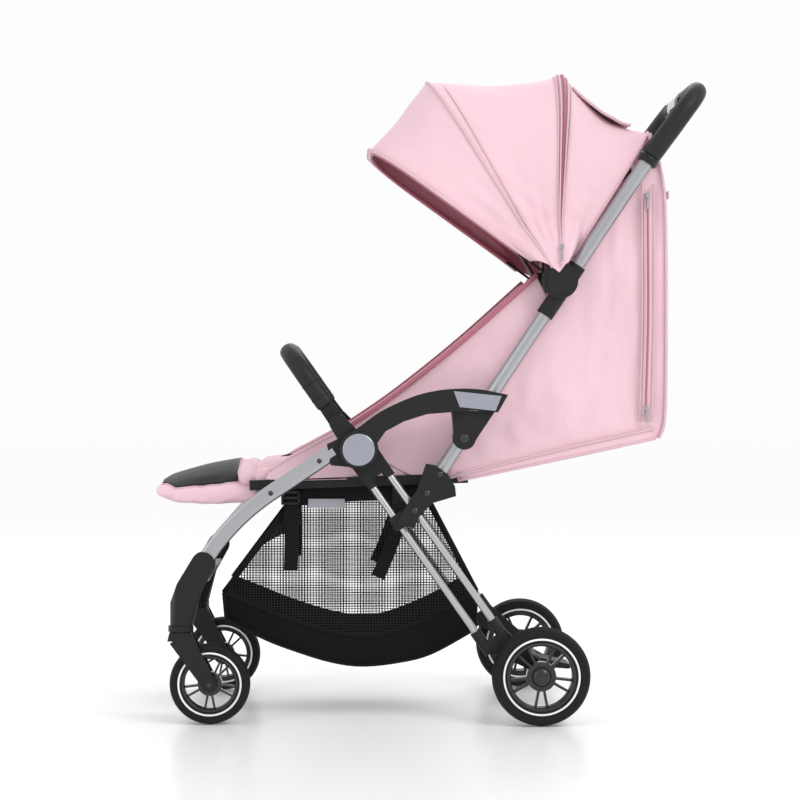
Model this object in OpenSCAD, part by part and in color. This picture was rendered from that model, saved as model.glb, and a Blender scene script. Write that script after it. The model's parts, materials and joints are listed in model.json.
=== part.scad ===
// Compact folding baby stroller. Millimetres, +Z up, front towards -X.
// The origin is on the floor below the middle of the stroller.

/* [Frame in side view] */
// Height of the main hub pivot above the floor
hub_z = 436; // [400:1:470]
// Place of the main hub along the stroller
hub_x = -119; // [-135:1:-100]
// Slope of the handle tubes
handle_slope = 56.3; // [52:0.1:60]
// Handle tube from the armrest pivot to the start of the grip
handle_len = 534; // [440:1:640]
// Grip from its lower end to the crossbar of the handle
grip_len = 134; // [105:1:165]
// Armrest link from the hub pivot to the handle pivot
arm_link = 168; // [150:1:190]
// Handle tube below the armrest pivot, to the carriage pivot
handle_tail = 105; // [90:1:120]
// Straight part of each front leg, from the hub
front_straight = 154; // [130:1:180]
// Radius of the bend in each front leg
front_bend_r = 350; // [300:5:420]

/* [Frame across] */
// Handle tube centre from the middle of the stroller
frame_half_w = 168; // [145:1:205]
// Radius of the handle tubes
handle_r = 11; // [9:0.5:13.5]
// Radius of the twin rear tubes
rear_r = 6; // [5:0.25:7.5]
// Distance between the axes of the twin rear tubes
rear_pitch = 33; // [30:0.5:40]
// Depth of the flat-oval front tubes in side view
front_depth = 26; // [22:0.5:31]
// Width of the flat-oval front tubes across the stroller
front_thick = 14; // [12:0.5:17]
// Gap between layers that pass each other when the frame folds
layer_gap = 1.5; // [1:0.1:3]
// Width of each armrest across the stroller
armrest_w = 14; // [11:0.5:18]

/* [Wheels] */
// Radius of the rear wheels
rear_wheel_r = 78; // [65:1:90]
// Width of the rear tyres
rear_tyre_w = 30; // [25:1:36]
// Place of the rear axle along the stroller
rear_axle_x = 169; // [150:1:200]
// Radius of the front wheels
front_wheel_r = 64; // [54:1:72]
// Width of the front tyres
front_tyre_w = 26; // [22:1:31]
// Place of the front axle along the stroller
front_axle_x = -355; // [-390:1:-330]
// Trail of the front castors
castor_trail = 46; // [38:1:52]
// Radius of the axle pins
axle_r = 4; // [3.2:0.1:5]

/* [Seat and soft goods] */
// Half the width of the seat
seat_half_w = 140; // [118:1:142]
// Thickness of the seat pad
seat_pad_t = 26; // [20:1:32]
// Length of the seat rails
seat_rail_len = 351; // [300:1:380]
// Length of the legrest beyond the seat
legrest_len = 150; // [125:1:180]
// Length of the backrest board
backrest_len = 340; // [285:1:350]
// Rest angle of the backrest above the floor
backrest_slope = 12; // [8:1:20]
// Canopy radius at the front hoop
canopy_r = 391; // [330:1:430]
// Thickness of the fabric walls
cloth_t = 3; // [2:0.5:4]

/* [Hidden] */
$fn = 48;

silver = [0.78, 0.79, 0.8];
black = [0.13, 0.13, 0.14];
pink = [0.93, 0.74, 0.77];
dark_pink = [0.66, 0.4, 0.44];
lavender = [0.6, 0.61, 0.67];

// ---- layers across the stroller, from the inside out ----
y_handle = frame_half_w;
y_rear = y_handle + handle_r + layer_gap + rear_r + 3;
y_cast0 = y_rear - rear_r;
y_cast1 = y_rear + rear_r;
y_front = y_cast1 + layer_gap / 2 + front_thick / 2;
y_front0 = y_front - front_thick / 2;
y_front1 = y_front + front_thick / 2;
y_arm0 = y_front1 + layer_gap;
y_arm1 = y_arm0 + armrest_w;
y_castor = y_front0 - 4;
y_rear_wheel = y_cast1 + 12 + rear_tyre_w / 2;
y_gusset = seat_half_w + 10;

// ---- key points in side view, as [x, z] ----
function polar(p, r, a) = [p[0] + r * cos(a), p[1] + r * sin(a)];
hub = [hub_x, hub_z];
hub_r = 31;
rear_axle_p = [rear_axle_x, rear_wheel_r];
front_axle_p = [front_axle_x, front_wheel_r];
axle_off = 29;
leg_vec = rear_axle_p - hub;
leg_reach = norm(leg_vec);
leg_slope = atan2(-leg_vec[1], leg_vec[0]) + asin(axle_off / leg_reach);
sleeve_end = 64;
housing_top = sqrt(leg_reach * leg_reach - axle_off * axle_off) - 110;

// A point on the rear leg: distance down the leg and offset towards the rear
function leg_point(along, off) = polar(polar(hub, along, -leg_slope), off, 90 - leg_slope);

arm_angle = 6;
pivot_a = polar(hub, arm_link, arm_angle);
pivot_b = polar(pivot_a, -handle_tail, handle_slope);
function handle_point(along, off) = polar(polar(pivot_a, along, handle_slope), off, handle_slope + 90);
canopy_along = 294;
canopy_off = 11;
canopy_c = handle_point(canopy_along, canopy_off);

front_off = 19;
front_slope = 33.5;
front_turn = 26.5;
// A point on the straight part of the front leg
function front_point(along) = polar(polar(hub, along, 180 + front_slope), front_off, 90 + front_slope);
front_knee = front_point(front_straight);
bend_c = polar(front_knee, front_bend_r, 270 + front_slope);
front_end = polar(bend_c, front_bend_r, 90 + front_slope + front_turn);
castor_p = [front_axle_x - castor_trail, front_axle_p[1]];
castor_head_z = 2 * front_wheel_r + 5;
castor_head_h = 13;
stem_len = 46;
stem_r = 6;
run_gap = 0.05;

rail_front = hub + [-175, -60];
rail_rear = rail_front + [seat_rail_len, 12];
rail_h = 16;
bight = rail_front + [315, 11];
backrest_end = polar(bight, backrest_len, backrest_slope);

clamp_along = 131;
clamp_len = 24;

// ---- helpers ----
module both() {
    children();
    mirror([0, 1, 0]) children();
}
// A flat plate with an outline in side view, between two places across the stroller
module plate(pts, y0, y1) {
    translate([0, y1, 0]) rotate([90, 0, 0]) linear_extrude(y1 - y0) polygon(pts);
}
// A round pin across the stroller
module pin(p, r, y0, y1) {
    translate([p[0], y1, p[1]]) rotate([90, 0, 0]) cylinder(h = y1 - y0, r = r);
}
// A round rod between two side-view points, at one place across the stroller
module rod(p, q, y, r) {
    v = q - p;
    translate([p[0], y, p[1]]) rotate([0, atan2(v[0], v[1]), 0]) cylinder(h = norm(v), r = r);
}
// A bar with straight sides between two side-view points
function bar_pts(p, q, r0, r1) = let (a = atan2(q[1] - p[1], q[0] - p[0]) + 90)
    [polar(p, r0, a), polar(q, r1, a), polar(q, -r1, a), polar(p, -r0, a)];
// A link with round ends
module link(p, q, r0, r1, y0, y1) {
    plate(bar_pts(p, q, r0, r1), y0, y1);
    pin(p, r0, y0, y1);
    pin(q, r1, y0, y1);
}
// A rivet with a domed head that stands on a face at y
module rivet(p, y, r) {
    translate([p[0], y, p[1]]) rotate([-90, 0, 0]) {
        cylinder(h = 1, r = r);
        translate([0, 0, 1]) cylinder(h = 1, r1 = r, r2 = r * 0.6);
    }
}
function unit(v) = v / norm(v);
function heading(p, i) = unit(p[min(i + 1, len(p) - 1)] - p[max(i - 1, 0)]);
// A tube swept along a flat path; the section is ra in the path's plane and rb out of it
module sweep(path, ra, rb, up, n = 12) {
    rings = [for (i = [0:len(path) - 1]) let (t = heading(path, i), s = unit(cross(up, t)))
        for (k = [0:n - 1]) path[i] + s * ra * cos(360 * k / n) + up * rb * sin(360 * k / n)];
    m = len(path);
    sides = [for (i = [0:m - 2]) for (k = [0:n - 1])
        [i * n + k, (i + 1) * n + k, (i + 1) * n + (k + 1) % n, i * n + (k + 1) % n]];
    caps = [[for (k = [0:n - 1]) k], [for (k = [n - 1:-1:0]) (m - 1) * n + k]];
    polyhedron(points = rings, faces = concat(sides, caps), convexity = 6);
}
// A section swept along a path in a vertical plane along the stroller
module flat_sweep(path, section) {
    n = len(section);
    m = len(path);
    rings = [for (i = [0:m - 1]) let (t = heading(path, i), s = unit(cross([0, 1, 0], t)))
        for (q = section) path[i] + s * q[0] + [0, q[1], 0]];
    sides = [for (i = [0:m - 2]) for (k = [0:n - 1])
        [i * n + k, (i + 1) * n + k, (i + 1) * n + (k + 1) % n, i * n + (k + 1) % n]];
    caps = [[for (k = [0:n - 1]) k], [for (k = [n - 1:-1:0]) (m - 1) * n + k]];
    polyhedron(points = rings, faces = concat(sides, caps), convexity = 6);
}
// A U path in the plane of Y and a side-view slope, opening at side-view point p
function u_path(p, slope, reach, half_w, corner, n) = let (d = [cos(slope), 0, sin(slope)],
    base = [p[0], 0, p[1]], y = [0, 1, 0]) concat(
    [base - y * half_w],
    [for (i = [0:n]) base + d * (reach - corner + corner * sin(90 * i / n))
        - y * (half_w - corner + corner * cos(90 * i / n))],
    [for (i = [n:-1:0]) base + d * (reach - corner + corner * sin(90 * i / n))
        + y * (half_w - corner + corner * cos(90 * i / n))],
    [base + y * half_w]);
// A closed shell between an outer and an inner grid of points
module shell(outer, inner) {
    m = len(outer);
    n = len(outer[0]);
    pts = concat([for (r = outer) for (p = r) p], [for (r = inner) for (p = r) p]);
    b = m * n;
    skin = [for (i = [0:m - 2]) for (k = [0:n - 2]) each [
        [i * n + k, i * n + k + 1, (i + 1) * n + k + 1, (i + 1) * n + k],
        [b + i * n + k, b + (i + 1) * n + k, b + (i + 1) * n + k + 1, b + i * n + k + 1]]];
    ends = [for (k = [0:n - 2]) each [
        [k, b + k, b + k + 1, k + 1],
        [(m - 1) * n + k, (m - 1) * n + k + 1, b + (m - 1) * n + k + 1, b + (m - 1) * n + k]]];
    edges = [for (i = [0:m - 2]) each [
        [i * n, (i + 1) * n, b + (i + 1) * n, b + i * n],
        [i * n + n - 1, b + i * n + n - 1, b + (i + 1) * n + n - 1, (i + 1) * n + n - 1]]];
    polyhedron(points = pts, faces = concat(skin, ends, edges), convexity = 8);
}

// ---- root: rear frame ----
module rear_tubes() color(silver) both() for (s = [-1, 1])
    rod(leg_point(20, s * rear_pitch / 2), leg_point(housing_top + 22, s * rear_pitch / 2), y_rear, rear_r);

module hub_castings() color(black) both() difference() {
    union() {
        pin(hub, hub_r - 1, y_cast0, y_cast1);
        plate(bar_pts(hub, leg_point(sleeve_end - 12, 0), 26, 25), y_cast0, y_cast1);
        for (s = [-1, 1])
            rod(leg_point(26, s * rear_pitch / 2), leg_point(sleeve_end, s * rear_pitch / 2), y_rear, rear_r + 2.5);
    }
    for (s = [-1, 1])
        rod(leg_point(20, s * rear_pitch / 2), leg_point(sleeve_end + 30, s * rear_pitch / 2), y_rear, rear_r);
    pin(hub, 5, y_cast0 - 1, y_cast1 + 1);
    // flat outer faces, so that the front frame's sockets pass
    plate([hub + [-60, -110], hub + [110, -110], hub + [110, 60], hub + [-60, 60]], y_cast1, y_cast1 + 20);
}

module hub_pins() color(silver) both() pin(hub, 5, y_cast0, y_arm1);

module hub_caps() color(lavender) both() {
    translate([hub[0], y_arm1 + 0.3, hub[1]]) rotate([-90, 0, 0]) cylinder(h = 1.6, r = 25.6);
    translate([hub[0], y_arm1 + 1.9, hub[1]]) rotate([-90, 0, 0]) cylinder(h = 1, r1 = 25.6, r2 = 24);
    pin(hub, 5, y_arm1, y_arm1 + 0.3);
}

module rear_housings() color(black) both() difference() {
    union() {
        for (s = [-1, 1])
            rod(leg_point(housing_top - 4, s * rear_pitch / 2), leg_point(housing_top + 38, s * rear_pitch / 2),
                y_rear, rear_r + 3);
        plate([leg_point(housing_top + 20, -rear_pitch / 2 - 8), leg_point(housing_top + 20, rear_pitch / 2 + 8),
            polar(rear_axle_p, 17, 90 - leg_slope + 25), polar(rear_axle_p, 17, -leg_slope),
            polar(rear_axle_p, 17, 210 - leg_slope)], y_cast0, y_cast1 + 2);
        pin(rear_axle_p, 19, y_cast0, y_cast1 + 2);
    }
    for (s = [-1, 1])
        rod(leg_point(housing_top - 10, s * rear_pitch / 2), leg_point(housing_top + 22, s * rear_pitch / 2),
            y_rear, rear_r);
    pin(rear_axle_p, axle_r, y_cast0 - 5, y_cast1 + 5);
}

axle_collar_r = 9;
module rear_axle() color(silver) {
    pin(rear_axle_p, axle_r, -y_rear_wheel - rear_tyre_w / 2, y_rear_wheel + rear_tyre_w / 2);
    pin(rear_axle_p, axle_collar_r, -y_cast0, y_cast0);
}

brake_half_w = 60;
module brake_pedal() color(black) difference() {
    union() {
        pin(rear_axle_p, axle_collar_r + 5, -brake_half_w, brake_half_w);
        plate(bar_pts(rear_axle_p + [8, -2], rear_axle_p + [62, -10], 8, 4), -brake_half_w / 2, brake_half_w / 2);
        pin(rear_axle_p + [62, -10], 4, -brake_half_w / 2, brake_half_w / 2);
    }
    pin(rear_axle_p, axle_collar_r + run_gap, -brake_half_w - 1, brake_half_w + 1);
}

// ---- front frame ----
// A flat-oval section: d long with round ends, t thick
function oval_pts(d, t) = [for (turn = [0, 180]) for (k = [0:8]) let (a = turn - 90 + 22.5 * k)
    [cos(turn) * (d - t) / 2 + t / 2 * cos(a), t / 2 * sin(a)]];
module front_leg(d, t, start) {
    a = front_point(start);
    v = front_knee - a;
    path = concat([[a[0], y_front, a[1]]],
        [for (i = [0:14]) let (p = polar(bend_c, front_bend_r, 90 + front_slope + front_turn * i / 14))
            [p[0], y_front, p[1]]]);
    flat_sweep(path, oval_pts(d, t));
}
module front_tubes() color(silver) both() front_leg(front_depth, front_thick, 34);

bumper_p = polar(hub, 53, 128);
module front_sockets() color(black) both() difference() {
    union() {
        pin(hub, hub_r, y_front0, y_front1);
        plate(bar_pts(hub, front_point(44), 30, 17), y_front0, y_front1);
        link(hub, bumper_p, 20, 14, y_front0, y_front1);
    }
    pin(hub, 5 + run_gap, y_front0 - 1, y_front1 + 1);
    front_leg(front_depth, front_thick, 34);
}

module front_rivets() color(silver) both() {
    rivet(front_point(62), y_front1, 4);
    rivet(front_knee, y_front1, 4);
}

housing_bottom = castor_head_z + castor_head_h + 1;
module castor_housings() color(black) both() difference() {
    union() {
        hull() {
            pin(polar(front_end, 6, 60), 19, y_front0 - 2, y_front1 + 2, $fn = 32);
            pin(polar(front_end, 40, 240), 20, y_front0 - 3, y_front1 + 2, $fn = 32);
        }
        hull() {
            pin(polar(front_end, 40, 240), 20, y_front0 - 3, y_front1 + 2, $fn = 32);
            translate([castor_p[0], y_castor, housing_bottom]) cylinder(h = stem_len, r = 17, $fn = 32);
        }
        translate([castor_p[0], y_castor, housing_bottom]) cylinder(h = 9, r = 20);
    }
    front_leg(front_depth, front_thick, 34);
    translate([castor_p[0], y_castor, housing_bottom - 1]) cylinder(h = stem_len, r = stem_r + run_gap);
}

cross_p = polar(front_end, 34, 240);
module front_cross_tube() color(silver)
    pin(cross_p, 8, -y_front0 + 2, y_front0 - 2);

foot_t = 8;
foot_len = 44;
module footrest() color([0.66, 0.66, 0.68]) {
    difference() {
        union() {
            plate([cross_p + [-foot_len * 0.4, 4], cross_p + [foot_len * 0.6, 4],
                cross_p + [foot_len * 0.6, 4 + foot_t], cross_p + [-foot_len * 0.4, 4 + foot_t]],
                -y_front0 + 24, y_front0 - 24);
            both() plate([cross_p + [-12, -12], cross_p + [12, -12], cross_p + [14, 2 + foot_t],
                cross_p + [-14, 2 + foot_t]], y_front0 - 34, y_front0 - 24);
        }
        pin(cross_p, 8, -y_front0, y_front0);
    }
}

// ---- castors and wheels ----
fork_gap = 3;
fork_t = 5;
module castor_fork(s) color(black) {
    top = castor_head_z + castor_head_h;
    head = [castor_p[0], castor_head_z + castor_head_h / 2];
    y_in = front_tyre_w / 2 + fork_gap;
    translate([0, s * y_castor, 0]) {
        difference() {
            union() {
                plate([[castor_p[0] - 20, castor_head_z], [castor_p[0] + 20, castor_head_z],
                    [castor_p[0] + 17, top], [castor_p[0] - 17, top]], -y_in - fork_t, y_in + fork_t);
                for (k = [-1, 1]) {
                    y0 = k > 0 ? y_in : -y_in - fork_t;
                    plate(bar_pts(head, front_axle_p, 19, 11), y0, y0 + fork_t);
                    pin(front_axle_p, 12, y0, y0 + fork_t);
                }
            }
            pin(front_axle_p, axle_r, -60, 60);
            translate([castor_p[0] - 60, -60, top]) cube([120, 120, 60]);
        }
        translate([castor_p[0], 0, top]) cylinder(h = stem_len - 4, r = stem_r);
    }
}
module castor_fork_left() castor_fork(-1);
module castor_fork_right() castor_fork(1);

module front_axle(s) color(silver) translate([0, s * y_castor, 0])
    pin(front_axle_p, axle_r, -front_tyre_w / 2 - fork_gap - fork_t, front_tyre_w / 2 + fork_gap + fork_t);
module front_axle_left() front_axle(-1);
module front_axle_right() front_axle(1);

// The tyre's section: a crowned tread over a flat seat on the rim
function tyre_pts(r, seat, w) = concat(
    [[seat, -w * 0.42], [seat, w * 0.42]],
    [for (i = [0:10]) let (a = 90 - 18 * i) [r - w * 0.35 + w * 0.35 * cos(a), w * 0.5 * sin(a)]]);
module tyre(r, seat, w) rotate([90, 0, 0]) rotate_extrude($fn = 96) polygon(tyre_pts(r, seat, w));
function rim_seat(r) = r * 0.73;

module wheel_rim(r, w) color(black) {
    seat = rim_seat(r);
    lip = seat - r * 0.1;
    boss = r * 0.2;
    rotate([90, 0, 0]) rotate_extrude($fn = 96)
        polygon([[lip, -w * 0.4], [seat, -w * 0.4], [seat, w * 0.4], [lip, w * 0.4], [lip + r * 0.03, 0]]);
    difference() {
        union() {
            rotate([90, 0, 0]) cylinder(h = w * 0.92, r = boss, center = true);
            rotate([90, 0, 0]) cylinder(h = w * 0.5, r = boss * 1.5, center = true);
            for (k = [0:4]) for (e = [-1, 1])
                rotate([0, 72 * k + 18 + e * 11, 0]) translate([boss * 0.8, -w * 0.22, -r * 0.026])
                    cube([lip + r * 0.06 - boss * 0.8, w * 0.44, r * 0.052]);
        }
        rotate([90, 0, 0]) cylinder(h = w * 2, r = axle_r + run_gap, center = true);
    }
}
module at_front_wheel(s) translate([front_axle_p[0], s * y_castor, front_axle_p[1]]) children();
module at_rear_wheel(s) translate([rear_axle_p[0], s * y_rear_wheel, rear_axle_p[1]]) children();
module front_tyre_left() color(black) at_front_wheel(-1) tyre(front_wheel_r, rim_seat(front_wheel_r), front_tyre_w);
module front_tyre_right() color(black) at_front_wheel(1) tyre(front_wheel_r, rim_seat(front_wheel_r), front_tyre_w);
module front_rim_left() at_front_wheel(-1) wheel_rim(front_wheel_r, front_tyre_w);
module front_rim_right() at_front_wheel(1) wheel_rim(front_wheel_r, front_tyre_w);
module rear_tyre_left() color(black) at_rear_wheel(-1) tyre(rear_wheel_r, rim_seat(rear_wheel_r), rear_tyre_w);
module rear_tyre_right() color(black) at_rear_wheel(1) tyre(rear_wheel_r, rim_seat(rear_wheel_r), rear_tyre_w);
module rear_rim_left() at_rear_wheel(-1) wheel_rim(rear_wheel_r, rear_tyre_w);
module rear_rim_right() at_rear_wheel(1) wheel_rim(rear_wheel_r, rear_tyre_w);

// ---- bumper bar ----
bumper_slope = 125;
bumper_reach = 138;
knuckle_y0 = y_cast0 - 1;
module bumper_knuckles() color(black) both() difference() {
    link(bumper_p, polar(bumper_p, 30, bumper_slope), 13, 12, knuckle_y0, y_front0 - 1);
    pin(bumper_p, 7 + run_gap, knuckle_y0 - 1, y_front0);
}
module bumper_bar() color(black)
    sweep(u_path(polar(bumper_p, 43, bumper_slope), bumper_slope, bumper_reach - 43,
        (knuckle_y0 + y_front0 - 1) / 2, 62, 8), 12, 15, [-sin(bumper_slope), 0, cos(bumper_slope)], 16);
module bumper_button(s) color([0.25, 0.25, 0.26]) mirror([0, s > 0 ? 0 : 1, 0]) pin(bumper_p, 7, knuckle_y0 - 3, knuckle_y0 + 6);
module bumper_button_left() bumper_button(-1);
module bumper_button_right() bumper_button(1);

// ---- armrests ----
// The armrest's upper edge is an arc from the hub to beyond the handle pivot
armrest_top = [hub + [-6, 31], hub + [36, 61], hub + [84, 83], hub + [120, 92.5], hub + [156.6, 96],
    hub + [193, 94.8], pivot_a + [68.5, 69]];
armrest_low = [pivot_a + [52.4, 41], pivot_a + [12, 44.6], pivot_a + [-15, 42], hub + [108, 56], hub + [71.6, 44.6],
    hub + [42.5, 29], hub + [29, 10]];
module armrest_shells() color(black) both() {
    difference() {
        union() {
            plate(concat(armrest_top, armrest_low), y_arm0, y_arm1);
            pin(hub, hub_r, y_arm0, y_arm1);
        }
        pin(hub, 5 + run_gap, y_arm0 - 1, y_arm1 + 1);
    }
    difference() {
        union() {
            plate([pivot_a + [-20, 44], pivot_a + [-17, 16], pivot_a + [-17, -4], pivot_a + [16, -6],
                pivot_a + [48, 42]], y_handle + handle_r + 1, y_arm0 + 4);
            pin(pivot_a, 18, y_handle + handle_r + 1, y_arm0 + 4);
        }
        pin(pivot_a, 4 + run_gap, y_handle, y_arm1);
    }
}
module armrest_inlays() color(lavender) both()
    plate([pivot_a + [-17.5, 74.8], pivot_a + [58, 67], pivot_a + [48.5, 43.5], pivot_a + [-8, 49.6]],
        y_arm1, y_arm1 + 1.2);
module armrest_rivets() color(silver) both() rivet(pivot_a, y_arm0 + 4, 7);

// ---- handle frame ----
module handle_tubes() color(silver) both() difference() {
    rod(handle_point(-handle_tail - 12, 0), handle_point(handle_len + 20, 0), y_handle, handle_r);
    pin(pivot_a, 4 + run_gap, y_handle - handle_r - 2, y_handle + handle_r + 2);
    pin(pivot_b, 5, y_handle - handle_r - 2, y_handle + handle_r + 2);
}
// The pins that the armrests hang the handle on
sleeve_lo = 235;
sleeve_hi = 331;
module handle_sleeves() color(black) both() difference() {
    union() {
        rod(handle_point(sleeve_lo, 0), handle_point(sleeve_hi, 0), y_handle, handle_r + 3);
        plate([handle_point(sleeve_lo + 30, 8), handle_point(sleeve_lo + 44, 24), handle_point(canopy_along + 20, 30),
            handle_point(sleeve_hi - 2, 8)], y_handle - 10, y_handle + 10);
    }
    rod(handle_point(sleeve_lo - 5, 0), handle_point(sleeve_hi + 5, 0), y_handle, handle_r);
    pin(canopy_c, 7, y_handle + handle_r + 3, y_handle + handle_r + 20);
}
module canopy_discs() color(black) both() {
    pin(canopy_c, 29, y_handle + handle_r + 3.2, y_handle + handle_r + 8);
    pin(canopy_c, 22, y_handle + handle_r + 8, y_handle + handle_r + 10);
}

grip_r = 16;
grip_corner = 46;
grip_slope = handle_slope - 3.3;
module handle_grip() color(black) difference() {
    sweep(u_path(handle_point(handle_len, 0), grip_slope, grip_len, y_handle, grip_corner, 8), grip_r, grip_r,
        [-sin(grip_slope), 0, cos(grip_slope)], 20);
    both() rod(handle_point(handle_len - 5, 0), handle_point(handle_len + 20, 0), y_handle, handle_r);
}
bar_p = polar(handle_point(handle_len, 0), grip_len, grip_slope);
fold_half_w = 42;
module fold_housing() color(silver) difference() {
    pin(bar_p, grip_r + 4, -fold_half_w, fold_half_w);
    pin(bar_p, grip_r, -fold_half_w - 1, fold_half_w + 1);
    translate([bar_p[0], 0, bar_p[1]]) rotate([0, 90 - handle_slope, 0]) translate([-13, -24, -grip_r - 10])
        cube([26, 48, 14]);
}
module fold_trigger() color(black) difference() {
    translate([bar_p[0], 0, bar_p[1]]) rotate([0, 90 - handle_slope, 0]) translate([-12, -23, -grip_r - 14])
        cube([24, 46, 12]);
    pin(bar_p, grip_r + 3.2, -fold_half_w, fold_half_w);
}
module fold_lock() color([0.3, 0.3, 0.31])
    translate([bar_p[0], 0, bar_p[1]]) rotate([0, 90 - handle_slope, 0]) translate([-6, -9, grip_r + 4.4])
        cube([12, 18, 3]);

// ---- soft sides of the seat ----
module side_front_gussets() color(pink) both()
    plate([hub + [2, -6], handle_point(canopy_along - 30, 26), handle_point(canopy_along - 40, 6),
        handle_point(-78, 6)], y_gusset, y_gusset + cloth_t);

panel_x = backrest_end[0] + 19;
panel_top = handle_point(handle_len - 6, -3);
module side_rear_gussets() color(pink) both()
    plate([handle_point(-40, -3), panel_top, [panel_x, panel_top[1] - 32], [panel_x + 3, backrest_end[1] + 22],
        [panel_x - 14, backrest_end[1] - 2], bight + [8, 10]], y_gusset, y_gusset + cloth_t);
module rear_panel() color(pink)
    plate([panel_top + [0, -4], panel_top, [panel_x, panel_top[1] - 32], [panel_x + 3, backrest_end[1] + 22],
        [panel_x + 3 - cloth_t, backrest_end[1] + 22], [panel_x - cloth_t, panel_top[1] - 33]],
        -y_gusset + 1, y_gusset - 1);

// ---- canopy ----
zip_angle = 87.8;
hoop_angle = 122.4;
visor_angle = 144.2;
zip_r = canopy_r - 49;
visor_r = canopy_r - 19;
hoop_half_w = y_handle - handle_r - 9;
hoop_corner = 90;
hoop_wire_r = 2.2;
hoop_nest = 5.2;
// A hoop bent from wire, with flat ears that turn on the canopy pivot; inner hoops nest in outer ones
module hoop(angle, reach, nest) {
    half_w = hoop_half_w - nest * hoop_nest;
    sweep(u_path(polar(canopy_c, 24, angle), angle, reach - 24, half_w, hoop_corner, 8), hoop_wire_r, hoop_wire_r,
        [-sin(angle), 0, cos(angle)], 10);
    both() difference() {
        link(canopy_c, polar(canopy_c, 24, angle), 9, 5, half_w - 1.4, half_w + 1.4);
        pin(canopy_c, 3 + run_gap, half_w - 3, half_w + 3);
    }
}
module zip_hoop() color(black) hoop(zip_angle, zip_r - 5, 0);
module front_hoop() color(black) hoop(hoop_angle, canopy_r - 5, 1);
module visor_hoop() color(black) hoop(visor_angle, visor_r - 5, 2);
// The reach of a straight line between two reaches, at an angle between them
function chord(a0, r0, a1, r1, a) = r0 * r1 * sin(a1 - a0) / (r0 * sin(a - a0) + r1 * sin(a1 - a));
// One fabric bay of the canopy between two hoop angles
module canopy_bay(a0, r0, a1, r1, w) {
    steps = 6;
    function layer(in) = [for (i = [0:steps]) let (a = a0 + (a1 - a0) * i / steps)
        u_path(polar(canopy_c, 30, a), a, chord(a0, r0, a1, r1, a) - 30 - in, w - in, hoop_corner - in, 8)];
    shell(layer(0), layer(cloth_t * 0.8));
}
bay_w = hoop_half_w + 7;
module canopy_rear_cover() color(pink)
    canopy_bay(handle_slope + 3, zip_r - 40, zip_angle - 1, zip_r, bay_w);
module canopy_front_cover() color(pink) canopy_bay(zip_angle, zip_r, hoop_angle - 1, canopy_r, bay_w);
module canopy_visor_cover() color(pink) canopy_bay(hoop_angle, canopy_r, visor_angle, visor_r, bay_w);

// ---- carriage: fan brackets, seat and basket ----
fan_y0 = y_cast1 + 2;
fan_y1 = fan_y0 + 6;
bush_r = rear_r + 1.5;
module fan_brackets() color(black) both() difference() {
    union() {
        plate([pivot_b + [-2, 47], pivot_b + [13.6, 44], pivot_b + [33, 29.5], pivot_b + [44, 11],
            pivot_b + [45.7, -4.6], pivot_b + [8.7, -15.6], leg_point(clamp_along + clamp_len / 2, rear_pitch / 2),
            leg_point(clamp_along + clamp_len / 2 + 10, 0), leg_point(clamp_along, -rear_pitch / 2 - 4),
            pivot_b + [-27, -9.6], pivot_b + [-17, 4]], fan_y0, fan_y1);
        plate([leg_point(clamp_along - clamp_len / 2, -rear_pitch / 2 - bush_r - 2),
            leg_point(clamp_along + clamp_len / 2, -rear_pitch / 2 - bush_r - 2),
            leg_point(clamp_along + clamp_len / 2, rear_pitch / 2 + bush_r + 2),
            leg_point(clamp_along - clamp_len / 2, rear_pitch / 2 + bush_r + 2)], y_rear - bush_r - 1.5, fan_y0 + 1);
    }
    for (s = [-1, 1]) rod(leg_point(clamp_along - clamp_len, s * rear_pitch / 2),
        leg_point(clamp_along + clamp_len, s * rear_pitch / 2), y_rear, bush_r);
}
module slider_bushes() color([0.2, 0.2, 0.2]) both() for (s = [-1, 1]) difference() {
    rod(leg_point(clamp_along - clamp_len / 2, s * rear_pitch / 2),
        leg_point(clamp_along + clamp_len / 2, s * rear_pitch / 2), y_rear, bush_r);
    rod(leg_point(clamp_along - clamp_len, s * rear_pitch / 2),
        leg_point(clamp_along + clamp_len, s * rear_pitch / 2), y_rear, rear_r + run_gap);
}
module fan_rivets() color(silver) both() {
    rivet(pivot_b, fan_y1, 4.5);
    rivet(pivot_b + [20.6, 30], fan_y1, 4.5);
    rivet(leg_point(clamp_along, rear_pitch / 2), fan_y1, 4.5);
}
strut_p = leg_point(clamp_along + 6, -rear_pitch / 2 - 2);
rail_y0 = seat_half_w + 2;
rail_y1 = seat_half_w + 9;
module seat_rails() color(black) both() {
    plate(bar_pts(rail_front, rail_rear, rail_h / 2, rail_h / 2), rail_y0, rail_y1);
    strut_top = [strut_p[0], rail_front[1] + 6];
    plate([strut_p + [-9, -9], strut_p + [9, -9], strut_top + [9, 0], strut_top + [-9, 0]], rail_y0, rail_y1);
    pin(strut_p, 7, rail_y1 - 1, y_cast0 - 5);
}
pan_t = 4;
module seat_pan() color(black) {
    plate(bar_pts(rail_front + [10, 2], bight - [28, 0.8], pan_t / 2, pan_t / 2), -seat_half_w, seat_half_w);
    both() for (p = [rail_front + [16, 0], bight - [42, 4]])
        pin(p, 3.5, seat_half_w - 8, rail_y0);
}
module seat_pad() color(pink)
    plate([rail_front + [-6, 5], rail_front + [-10, 5 + seat_pad_t * 0.5], rail_front + [4, 5 + seat_pad_t],
        bight + [-30, 3 + seat_pad_t], bight + [-12, 3 + seat_pad_t * 0.6], bight + [-10, 3]],
        -seat_half_w + 1, seat_half_w - 1);
buckle_p = rail_front + [110, 5 + seat_pad_t + 6];
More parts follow.
